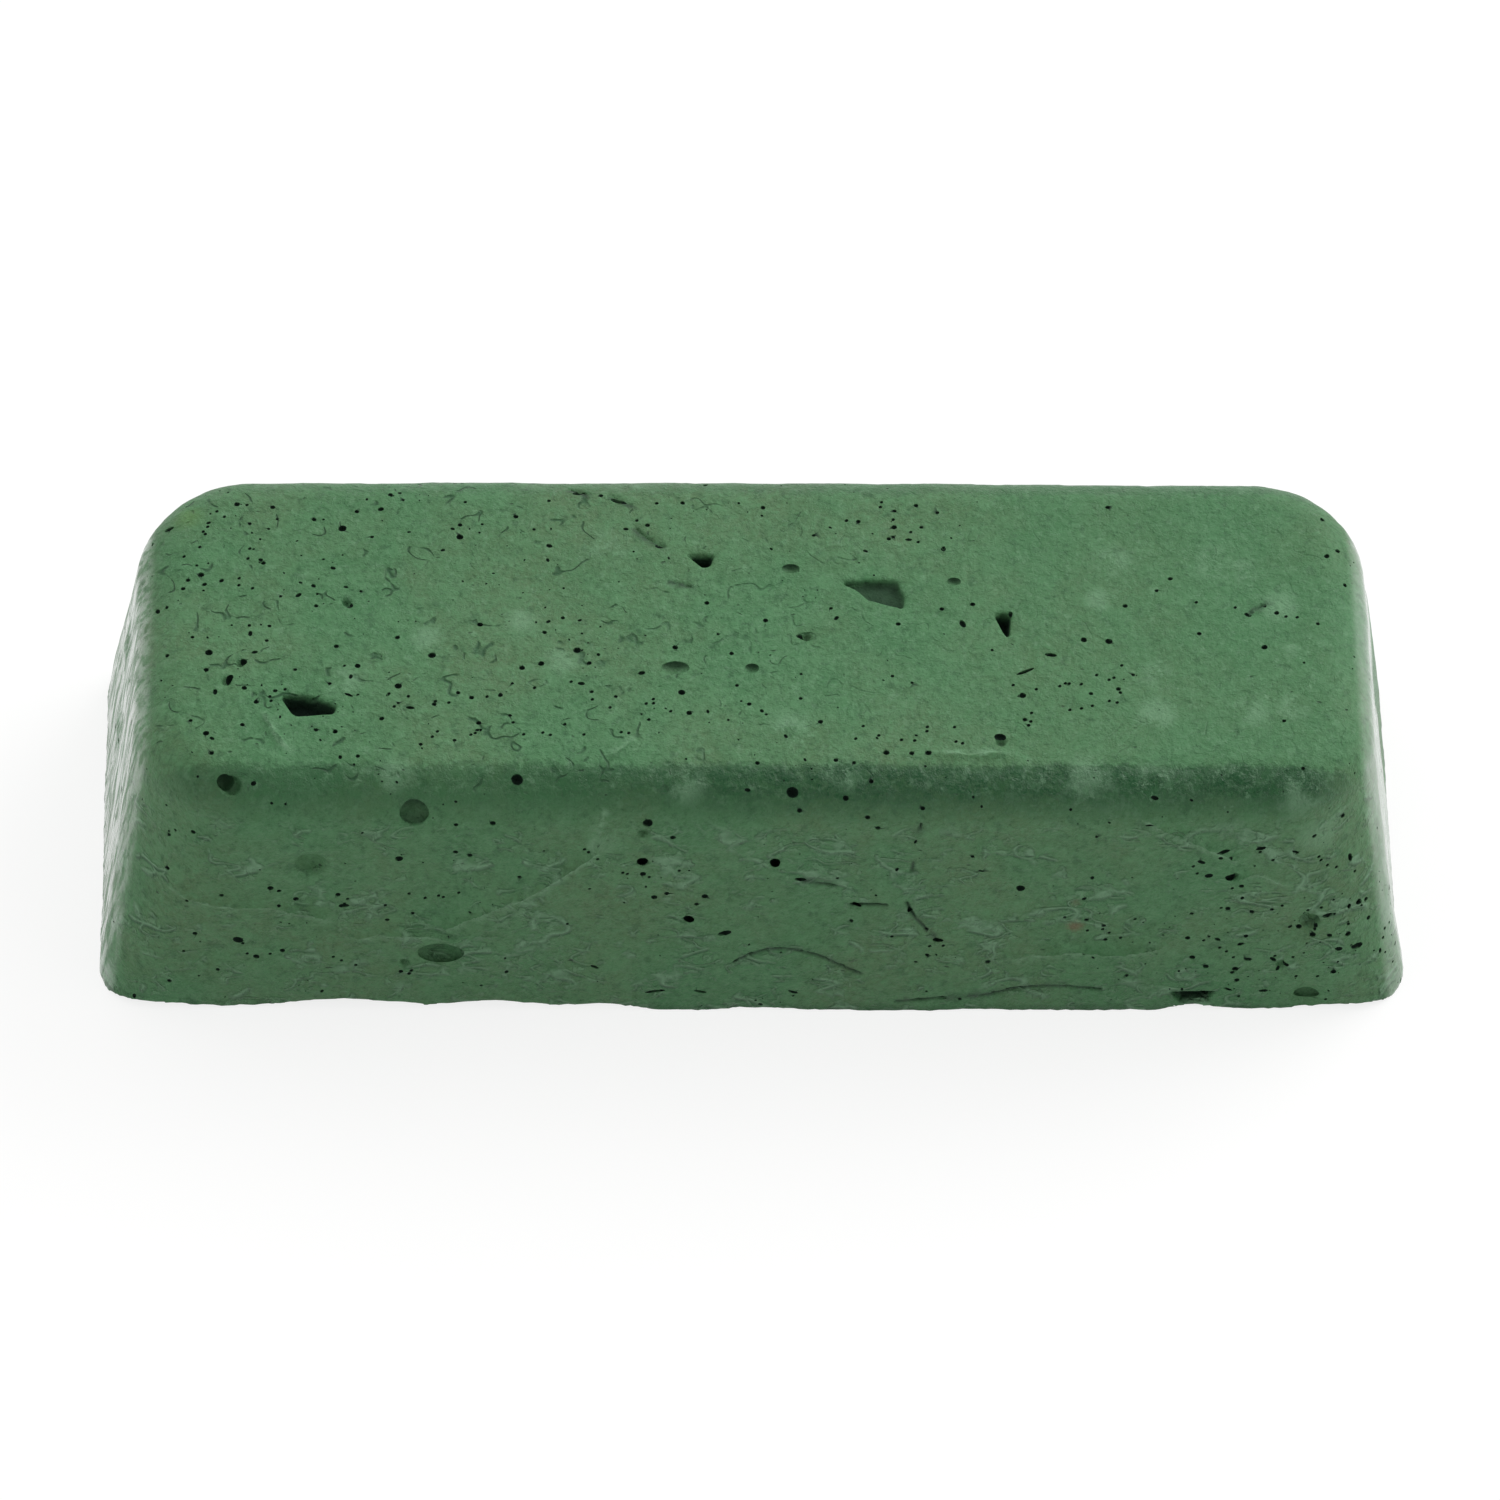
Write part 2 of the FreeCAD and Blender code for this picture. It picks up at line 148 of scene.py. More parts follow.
# Burst bubbles: the two coordinates and the mouth's radius
BUBBLES = {
    "top": (
        (-43.4, 13.5, 0.24), (-40.4, 13.1, 0.21), (-40.0, 11.8, 0.13), (-42.3, 11.3, 0.16),
        (-40.7, 10.7, 0.13), (-41.4, 9.6, 0.11), (-34.5, 10.8, 0.34), (-36.9, 11.8, 0.19),
        (-36.1, 11.8, 0.11), (-33.3, 12.7, 0.19), (-30.5, 14.7, 0.21), (-29.4, 14.0, 0.13),
        (-24.6, 11.2, 0.19), (-24.6, 9.9, 0.29), (-19.9, 12.2, 0.21), (-32.0, 9.9, 0.16),
        (-46.3, 5.7, 0.26), (-47.4, 5.1, 0.19), (-47.8, 4.2, 0.19), (-41.1, 7.0, 0.21), (-49.3, 2.4, 0.16),
        (-39.6, 3.3, 0.13), (-40.5, -0.0, 0.16), (-40.7, -1.6, 0.16), (-46.9, -1.2, 0.16),
        (-45.5, -2.9, 0.32), (-45.7, -4.8, 0.21), (-42.8, -4.0, 0.32), (-42.5, -6.8, 0.21),
        (-49.1, -3.0, 0.19), (-41.5, -8.3, 0.21), (-46.9, -10.3, 0.16), (-45.6, -11.7, 0.26),
        (-42.6, -10.8, 0.19), (-36.5, -11.3, 0.19), (-34.9, -11.5, 0.21), (-34.0, 2.5, 0.32),
        (-32.9, 3.9, 0.13), (-29.8, -1.2, 0.21), (-33.1, -4.4, 0.24), (-34.9, -2.2, 0.21),
        (-22.9, 0.2, 0.24), (-17.5, -0.6, 0.19), (-17.8, -4.0, 0.26), (-19.4, -4.5, 0.24),
        (-20.2, -6.2, 0.13), (-29.7, -6.6, 0.29), (-21.2, -7.5, 0.21), (-23.6, -7.8, 0.21),
        (-26.7, -8.5, 0.19), (-29.7, -8.4, 0.13), (-23.0, -10.5, 0.21), (-27.8, -12.8, 0.16),
        (-25.0, -12.4, 0.16), (-35.4, -6.3, 0.16), (-38.3, -4.8, 0.16), (-26.9, -3.2, 0.32),
        (-12.7, 14.7, 0.19), (-8.8, 11.3, 0.21), (-8.0, 13.8, 0.16), (-17.1, 14.0, 0.16), (5.2, 10.2, 0.16),
        (9.0, 11.8, 0.19), (13.9, 13.6, 0.19), (12.1, 13.0, 0.16), (12.0, 11.2, 0.24), (11.9, 10.1, 0.16),
        (14.3, 11.2, 0.16), (15.7, 12.8, 0.16), (16.1, 8.7, 0.21), (-3.9, 2.6, 0.21), (1.0, 0.8, 0.21),
        (6.5, 2.1, 0.16), (12.1, 0.4, 0.21), (18.4, 2.6, 0.21), (15.8, 2.1, 0.19), (-6.6, -2.3, 0.24),
        (-1.9, -2.9, 0.19), (-3.0, -0.8, 0.13), (-14.8, -2.5, 0.32), (-13.8, -3.9, 0.21),
        (-13.6, -7.1, 0.16), (-11.6, -7.6, 0.16), (-6.1, -7.2, 0.29), (-0.5, -8.4, 0.19), (0.9, -9.5, 0.13),
        (-5.5, -9.4, 0.24), (-1.5, -6.4, 0.16), (5.4, -10.3, 0.21), (3.8, -7.7, 0.16), (13.1, -6.1, 0.13),
        (30.1, 13.4, 0.19), (49.6, 9.0, 0.21), (50.2, 5.3, 0.19), (48.4, 12.5, 0.19), (35.1, 5.5, 0.21),
        (33.9, 4.2, 0.16), (31.2, 2.5, 0.21), (37.3, -0.6, 0.19), (27.6, -1.3, 0.26), (29.7, -1.4, 0.29),
        (43.9, 1.7, 0.21), (42.7, -2.1, 0.26), (47.3, 0.5, 0.16), (28.0, -7.2, 0.19), (30.3, -6.7, 0.21),
        (31.6, -5.1, 0.16), (22.3, -7.4, 0.29), (22.4, -10.0, 0.19), (22.7, -10.6, 0.16),
        (44.0, -10.1, 0.16),
    ),
    "shoulder": (
        (-19.8, 35.5, 0.48), (-28.5, 64.0, 0.24), (-21.8, 82.1, 0.24), (-40.1, 59.6, 0.13),
        (-39.0, 60.7, 0.11), (-45.1, 5.1, 0.19), (10.8, 2.5, 0.26), (12.9, 3.2, 0.21), (14.3, 3.2, 0.26),
        (6.6, 13.3, 0.19), (0.1, 16.5, 0.19), (8.1, 16.3, 0.16), (9.5, 37.1, 0.19), (7.4, 54.2, 0.24),
        (3.0, 48.4, 0.48), (3.6, 66.2, 0.21), (-9.0, 80.8, 0.4), (9.2, 73.9, 0.21), (10.1, 86.3, 0.21),
        (13.8, 64.1, 0.19), (45.4, 20.7, 0.16),
    ),
    "front": (
        (-40.3, 15.2, 0.26), (-39.6, 14.8, 0.19), (-38.2, 13.8, 0.24), (-44.4, 14.2, 0.19),
        (-49.6, 16.6, 0.19), (-34.7, 14.4, 0.21), (-29.6, 19.0, 0.32), (-24.9, 19.8, 0.21),
        (-23.7, 19.4, 0.21), (-49.8, 20.1, 0.16), (-49.2, 20.8, 0.13), (-39.4, 7.4, 0.21),
        (-41.6, 6.6, 0.26), (-46.7, 9.4, 0.21), (-29.5, 4.9, 0.19), (-28.8, 4.6, 0.16), (-19.6, 16.8, 0.16),
        (-9.4, 18.6, 0.53), (-9.3, 17.2, 0.24), (-8.3, 14.3, 0.26), (-7.3, 14.8, 0.21), (-4.1, 14.5, 0.26),
        (-4.8, 13.5, 0.19), (-5.3, 11.5, 0.48), (1.7, 18.4, 0.48), (13.0, 12.6, 0.24), (14.6, 10.3, 0.13),
        (14.7, 7.1, 0.19), (-6.9, 21.8, 0.24), (22.2, 15.5, 0.37), (18.1, 19.4, 0.16), (28.3, 21.8, 0.13),
        (40.7, 15.6, 0.21), (39.7, 12.8, 0.21), (36.7, 12.2, 0.16), (43.4, 12.6, 0.16), (36.5, 9.2, 0.21),
        (38.3, 9.3, 0.13), (41.4, 9.3, 0.19), (37.0, 6.7, 0.24), (38.2, 5.6, 0.24), (40.7, 5.2, 0.26),
        (40.9, 3.8, 0.21), (48.7, 13.4, 0.11), (51.8, 12.2, 0.29), (53.2, 12.2, 0.21), (53.2, 10.1, 0.21),
        (50.2, 9.1, 0.26), (49.0, 4.8, 0.24), (50.8, 22.3, 0.21), (47.0, 9.5, 0.26), (27.9, 11.5, 0.19),
        (29.4, 10.8, 0.16), (29.6, 9.0, 0.16), (31.6, 4.5, 0.16), (46.3, 11.9, 0.24), (45.8, 10.3, 0.24),
        (47.0, 10.7, 0.21),
    ),
    "back": (
        (-38.0, 16.0, 0.42), (-22.0, 9.0, 0.3), (-12.0, 19.5, 0.26), (7.0, 14.0, 0.5), (15.0, 20.0, 0.28),
        (24.0, 12.0, 0.34), (37.0, 7.0, 0.44), (44.0, 15.0, 0.26), (-33.0, 6.0, 0.22), (-5.0, 8.0, 0.24),
    ),
    "left": (
        (-7.0, 14.0, 0.34), (5.0, 8.0, 0.26), (9.0, 18.0, 0.24),
    ),
    "right": (
        (6.0, 9.0, 0.4), (-4.0, 17.0, 0.26), (10.0, 15.0, 0.3),
    ),
}
# Flat bubbles that opened as slits: the two coordinates, half their length and half their width
SLITS = {
    "top": (
        (-43.9, -5.9, 0.29, 0.53), (-33.8, -7.5, 0.42, 0.13), (-28.7, -8.9, 0.37, 0.16),
        (-49.4, 11.3, 0.48, 0.26), (-7.8, 8.9, 0.42, 0.26), (13.2, 9.8, 0.32, 0.16),
        (4.3, -1.0, 0.58, 0.24), (17.5, 0.4, 0.26, 0.48), (-14.5, 15.0, 0.63, 0.24),
        (-11.2, 14.0, 0.74, 0.24), (41.5, 1.5, 0.37, 0.21), (20.3, -12.0, 0.53, 0.29),
        (24.8, -3.0, 0.53, 0.21), (22.6, -4.8, 0.85, 0.16),
    ),
    "shoulder": (
        (32.7, 81.8, 0.4, 0.13),
    ),
    "front": (
        (-34.2, 13.0, 0.48, 0.24), (-43.1, 8.7, 0.48, 0.37), (-2.4, 9.9, 0.63, 0.29),
        (3.8, 16.5, 0.53, 0.21), (15.6, 8.9, 0.53, 0.24), (-13.2, 5.5, 0.4, 0.16), (-8.1, 2.5, 0.9, 0.16),
        (-4.3, 2.5, 0.58, 0.16), (3.5, 2.5, 0.48, 0.16), (8.5, 13.3, 0.63, 0.16), (13.3, 21.2, 0.13, 0.26),
        (18.9, 17.6, 0.26, 0.11), (38.9, 19.9, 0.63, 0.21), (42.1, 20.3, 0.48, 0.19),
        (45.0, 19.7, 0.37, 0.13), (37.2, 18.6, 0.37, 0.19), (37.9, 16.9, 0.37, 0.26),
        (39.7, 16.6, 0.58, 0.37), (41.0, 8.3, 0.32, 0.16), (41.7, 6.4, 0.37, 0.21), (44.8, 5.7, 0.37, 0.24),
        (43.2, 2.4, 0.42, 0.19), (40.2, 2.7, 0.42, 0.13), (48.2, 11.7, 0.53, 0.24), (49.3, 7.6, 0.37, 0.24),
        (51.2, 7.5, 0.58, 0.32), (51.4, 17.5, 0.24, 0.48),
    ),
    "back": (
        (-27.0, 15.0, 0.6, 0.2), (12.0, 9.0, 0.5, 0.2), (31.0, 18.0, 0.7, 0.22), (-44.0, 7.0, 0.5, 0.2),
    ),
}


class Field:
    """A socket that is worked with in sums, whether it carries a number, a vector or a colour."""

    def __init__(self, recipe, socket):
        self.recipe = recipe
        self.socket = socket

    def out(self, name):
        outputs = self.socket.node.outputs
        return Field(self.recipe, next(s for s in outputs if s.enabled and s.name == name))

    def work(self, operation, first, second=0.0):
        wide = any(isinstance(v, Field) and v.socket.type in ("VECTOR", "RGBA") for v in (first, second))
        kind = "ShaderNodeVectorMath" if wide else "ShaderNodeMath"
        return self.recipe.node(kind, {"operation": operation}, {0: first, 1: second})

    def __add__(self, other):
        return self.work("ADD", self, other)

    def __radd__(self, other):
        return self.work("ADD", other, self)

    def __sub__(self, other):
        return self.work("SUBTRACT", self, other)

    def __rsub__(self, other):
        return self.work("SUBTRACT", other, self)

    def __mul__(self, other):
        return self.work("MULTIPLY", self, other)

    def __rmul__(self, other):
        return self.work("MULTIPLY", other, self)

    def __truediv__(self, other):
        return self.work("DIVIDE", self, other)

    def __rtruediv__(self, other):
        return self.work("DIVIDE", other, self)

    def __pow__(self, other):
        return self.work("POWER", self, other)

    def __abs__(self):
        return self.work("ABSOLUTE", self)

    def least(self, other):
        return self.work("MINIMUM", self, other)

    def most(self, other):
        return self.work("MAXIMUM", self, other)

    def split(self):
        parts = self.recipe.node("ShaderNodeSeparateXYZ", {}, {0: self})
        return parts, parts.out("Y"), parts.out("Z")

    def rise(self, low, high):
        """0 below low, 1 above high, and smooth between them."""
        return self.recipe.node(
            "ShaderNodeMapRange",
            {"interpolation_type": "SMOOTHSTEP"},
            {"Value": self, "From Min": low, "From Max": high},
        )

    def fall(self, low, high):
        """1 below low, 0 above high, and smooth between them."""
        return 1 - self.rise(low, high)

    def hump(self, middle, reach):
        """1 at the middle and 0 further off than the reach."""
        return abs(self - middle).fall(0.0, reach)


class Recipe:
    """A node tree that is written as expressions on fields."""

    def __init__(self, tree):
        self.tree = tree
        tree.nodes.clear()

    def feed(self, socket, value):
        if isinstance(value, (list, tuple)) and value and isinstance(value[0], Field):
            for each in value:
                self.tree.links.new(each.socket, socket)
        elif isinstance(value, Field):
            self.tree.links.new(value.socket, socket)
        elif socket.type in ("VECTOR", "RGBA") and isinstance(value, (int, float)):
            socket.default_value = (value, value, value, 1.0)[: len(socket.default_value)]
        elif socket.type == "RGBA":
            socket.default_value = (*value[:3], 1.0)
        else:
            socket.default_value = value

    def node(self, kind, settings=None, sockets=None):
        """Makes a node, with its settings before its sockets, and gives its first output."""
        made = self.tree.nodes.new(kind)
        for name, value in (settings or {}).items():
            setattr(made, name, value)
        for name, value in (sockets or {}).items():
            if isinstance(name, int):
                socket = made.inputs[name]
            else:
                socket = next(s for s in made.inputs if s.enabled and s.name == name)
            self.feed(socket, value)
        return Field(self, next((s for s in made.outputs if s.enabled), None))

    def vector(self, x=0.0, y=0.0, z=0.0):
        return self.node("ShaderNodeCombineXYZ", {}, {"X": x, "Y": y, "Z": z})

    def noise(self, place, size, seed, detail=2.0, rough=0.5, twist=0.0):
        """Noise from 0 to 1 whose lumps are about as wide as the size."""
        return self.node(
            "ShaderNodeTexNoise",
            {"noise_dimensions": "4D"},
            {"Vector": place, "W": seed, "Scale": 1 / size, "Detail": detail, "Roughness": rough,
             "Distortion": twist},
        )

    def blend(self, share, first, second):
        """A colour between two colours."""
        mixed = self.node(
            "ShaderNodeMix",
            {"data_type": "RGBA"},
            {0: share, "A": first, "B": second},
        )
        return mixed


class Growth(Recipe):
    """A Geometry Nodes tree with named inputs, used as a modifier."""

    def __init__(self, name):
        super().__init__(bpy.data.node_groups.new(name, "GeometryNodeTree"))
        self.tree.interface.new_socket("Geometry", in_out="INPUT", socket_type="NodeSocketGeometry")
        self.tree.interface.new_socket("Geometry", in_out="OUTPUT", socket_type="NodeSocketGeometry")
        self.entry = self.tree.nodes.new("NodeGroupInput")
        self.values = {}

    def ask(self, name, value):
        """Adds a named input, remembers what the modifier sets it to and gives it as a field."""
        kinds = {int: "NodeSocketInt", bpy.types.Object: "NodeSocketObject", bpy.types.Material: "NodeSocketMaterial"}
        kind = kinds.get(type(value), "NodeSocketFloat")
        socket = self.tree.interface.new_socket(name, in_out="INPUT", socket_type=kind)
        self.values[socket.identifier] = value
        return Field(self, self.entry.outputs[name])

    def geometry(self):
        return Field(self, self.entry.outputs["Geometry"])

    def finish(self, result, material):
        """Realizes the result, gives it its material and ends the tree."""
        whole = self.node("GeometryNodeRealizeInstances", {}, {"Geometry": result})
        dressed = self.node("GeometryNodeSetMaterial", {}, {"Geometry": whole, "Material": material})
        last = self.tree.nodes.new("NodeGroupOutput")
        self.feed(last.inputs["Geometry"], dressed)

    def put_on(self, holder):
        modifier = holder.modifiers.new(self.tree.name, "NODES")
        modifier.node_group = self.tree
        for identifier, value in self.values.items():
            modifier[identifier] = value


def half_length(height):
    return LENGTH / 2 - END_LEAN * height / HEIGHT


def half_width(height):
    return WIDTH / 2 - SIDE_LEAN * height / HEIGHT


def on_bar(face, across, up):
    """The place in metres of a mark that is given in millimetres on one face of the bar."""
    a, b = across * MM, up * MM
    if face == "shoulder":
        down = math.radians(up)
        wall = WIDTH / 2 - SIDE_LEAN - SHOULDER + SHOULDER * math.sin(down)
        return Vector((a, -wall, HEIGHT - SHOULDER + SHOULDER * math.cos(down)))
    places = {
        "top": (a, b, HEIGHT),
        "front": (a, -half_width(b), b),
        "back": (a, half_width(b), b),
        "left": (-half_length(b), a, b),
        "right": (half_length(b), a, b),
    }
    return Vector(places[face])


def lines_object(name, lines):
    """Marks on the bar as smooth curves, for the trees to read."""
    curves = bpy.data.curves.new(name, "CURVE")
    curves.dimensions = "3D"
    for face, *points in lines:
        spline = curves.splines.new("NURBS")
        spline.points.add(len(points) - 1)
        for point, (across, up) in zip(spline.points, points):
            point.co = (*on_bar(face, across, up), 1.0)
        spline.order_u = min(3, len(points))
        spline.use_endpoint_u = True
    return linked(name, curves)


def marks_object(name, marks):
    """Marks as points that carry a vector: the half sizes of a bubble, or the reach of a patch."""
    mesh = bpy.data.meshes.new(name)
    mesh.from_pydata([place for place, size in marks], [], [])
    sizes = mesh.attributes.new("size", "FLOAT_VECTOR", "POINT")
    for value, (place, size) in zip(sizes.data, marks):
        value.vector = [measure * MM for measure in size]
    return linked(name, mesh)


def single_bubbles():
    """The bubbles that have places of their own, round or slit."""
    marks = []
    for face, bubbles in BUBBLES.items():
        marks += [(on_bar(face, a, b), (mouth * 1.1, mouth, mouth * 1.4)) for a, b, mouth in bubbles]
    for face, slits in SLITS.items():
        marks += [(on_bar(face, a, b), (length, width, max(length, width) * 0.8)) for a, b, length, width in slits]
    return marks


def linked(name, data):
    made = bpy.data.objects.new(name, data)
    bpy.context.scene.collection.objects.link(made)
    return made


def plain_mesh(holder):
    """The mesh that an object's modifiers make."""
    bpy.context.view_layer.update()
    graph = bpy.context.evaluated_depsgraph_get()
    return bpy.data.meshes.new_from_object(holder.evaluated_get(graph), depsgraph=graph)


def merged_copy(node):
    """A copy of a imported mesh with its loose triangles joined."""
    mesh = node.data.copy()
    work = bmesh.new()
    work.from_mesh(mesh)
    bmesh.ops.remove_doubles(work, verts=work.verts, dist=0.001 * MM)
    work.to_mesh(mesh)
    work.free()
    mesh.materials.clear()
    return mesh


def laid_lines(tree, source, body, step):
    """Curves as edges that lie on the body."""
    info = tree.node("GeometryNodeObjectInfo", {"transform_space": "ORIGINAL"}, {"Object": source})
    evenly = tree.node(
        "GeometryNodeResampleCurve", {"mode": "LENGTH"}, {"Curve": info.out("Geometry"), "Length": step}
    )
    edges = tree.node("GeometryNodeCurveToMesh", {}, {"Curve": evenly})
    nearest = tree.node("GeometryNodeProximity", {"target_element": "FACES"}, {0: body})
    return tree.node("GeometryNodeSetPosition", {}, {"Geometry": edges, "Position": nearest.out("Position")})


def skin_tree(sizes, material, cracks, laps):
    """The relief of the cast skin: bowed sides, lumps, grain, laps, cracks and the poured face."""
    tree = Growth("Cast Skin")
    body = tree.geometry()
    bow = tree.ask("Bow", sizes.bow)
    lump = tree.ask("Lump Height", sizes.lump_height)
    lump_size = tree.ask("Lump Size", sizes.lump_size)
    grain = tree.ask("Grain Height", sizes.grain_height)
    grain_size = tree.ask("Grain Size", sizes.grain_size)
    lap_height = tree.ask("Lap Height", sizes.lap_height)
    lap_width = tree.ask("Lap Width", sizes.lap_width)
    crack_depth = tree.ask("Crack Depth", sizes.crack_depth)
    crack_width = tree.ask("Crack Width", sizes.crack_width)
    pour = tree.ask("Pour Height", sizes.pour_height)
    swell_share = tree.ask("Swell Share", sizes.swell_share)
    crack_lines = laid_lines(tree, tree.ask("Cracks", cracks), body, 0.4 * MM)
    lap_lines = laid_lines(tree, tree.ask("Laps", laps), body, 0.4 * MM)

    place = tree.node("GeometryNodeInputPosition")
    facing = tree.node("GeometryNodeInputNormal")
    x, y, z = place.split()
    facing_z = facing.split()[2]
    under = facing_z.fall(-0.95, -0.7)
    foot = z.fall(0.0, 3.0 * MM)

    along = 1 - (x / (LENGTH / 2)) ** 2.0
    bulge = bow * along * (0.7 + z * (0.3 / HEIGHT)) * (y / (WIDTH / 2))
    on_end = abs(facing.split()[0]).rise(0.8, 0.97)
    swells = 0.0
    for face, across, up, reach, rise in SWELLS:
        spot = on_bar(face, across, up)
        away = tree.node("ShaderNodeVectorMath", {"operation": "DISTANCE"}, {0: place, 1: spot}).out("Value")
        swells = away.fall(0.0, reach * MM) * (rise * MM) + swells

    lumps = (tree.noise(place, lump_size, 1.0) - 0.5) * lump
    ripples = (tree.noise(place, 2.6 * MM, 3.0, detail=1.0, twist=0.6) - 0.5) * (lump * 0.3)
    grains = (tree.noise(place, grain_size, 2.0, detail=3.0, rough=0.6) - 0.5) * grain

    to_crack = tree.node("GeometryNodeProximity", {"target_element": "EDGES"}, {0: crack_lines})
    gaps = tree.noise(place, 1.4 * MM, 5.0).rise(0.35, 0.6)
    wander = (tree.noise(place, 0.8 * MM, 6.0) - 0.5) * (crack_width * 1.2)
    crack = abs(to_crack.out("Distance") + wander).fall(0.0, crack_width) * gaps * crack_depth

    to_lap = tree.node("GeometryNodeProximity", {"target_element": "EDGES"}, {0: lap_lines})
    away = place - to_lap.out("Position")
    lap_far = abs(to_lap.out("Distance") + (tree.noise(place, 1.1 * MM, 13.0) - 0.5) * 0.8 * MM)
    side = tree.node("ShaderNodeVectorMath", {"operation": "DOT_PRODUCT"}, {0: away, 1: (0.3, 0.0, 1.0)})
    upper = (side.out("Value") / (lap_far + 0.01 * MM)).rise(-0.4, 0.4)
    swell = tree.noise(place, 3.0 * MM, 7.0).rise(0.2, 0.7)
    lip = (lap_far.fall(0.0, lap_width * 3) * upper + lap_far.fall(0.0, lap_width)) * swell * lap_height

    broken = (tree.noise(place, 1.1 * MM, 8.0, detail=3.0, rough=0.65) - 0.45) * foot * pour
    poured = tree.noise(place, 4.0 * MM, 9.0, detail=4.0, rough=0.6).rise(0.35, 0.8) * pour * 2.0

    walls = lumps + (ripples + grains) * (1 - on_end * 0.75) + lip + swells * swell_share - crack - broken
    height = walls * (1 - under) - poured * under

    hull = tree.node("GeometryNodeConvexHull", {}, {"Geometry": body})
    hull_above = tree.node("GeometryNodeProximity", {"target_element": "FACES"}, {0: hull})
    depth = hull_above.out("Distance")
    to_dish = tree.node("ShaderNodeVectorMath", {"operation": "DISTANCE"}, {0: place, 1: on_bar(*DISH)}).out("Value")
    share = (1 - DISH_DEPTH * MM / depth.most(0.01 * MM)).most(0.0) * to_dish.fall(DISH_REACH * 0.7 * MM, DISH_REACH * MM)
    filled = (hull_above.out("Position") - place) * share

    moved = facing * height + tree.vector(y=bulge) + filled
    shaped = tree.node("GeometryNodeSetPosition", {}, {"Geometry": body, "Offset": moved})
    tree.finish(shaped, tree.ask("Material", material))
    return tree


def bubble_pits(tree, points, rotation, size, rounds, inner_shade):
    """Bubbles that break the skin: egg shapes, half sunk, marked with how much painted shade they get inside."""
    ball = tree.node("GeometryNodeMeshIcoSphere", {}, {"Radius": 1.0, "Subdivisions": rounds})
    ball = tree.node(
        "GeometryNodeStoreNamedAttribute",
        {"data_type": "FLOAT", "domain": "POINT"},
        {"Geometry": ball, "Name": "hole", "Value": inner_shade},
    )
    return tree.node(
        "GeometryNodeInstanceOnPoints",
        {},
        {"Points": points, "Instance": ball, "Rotation": rotation, "Scale": size},
    )


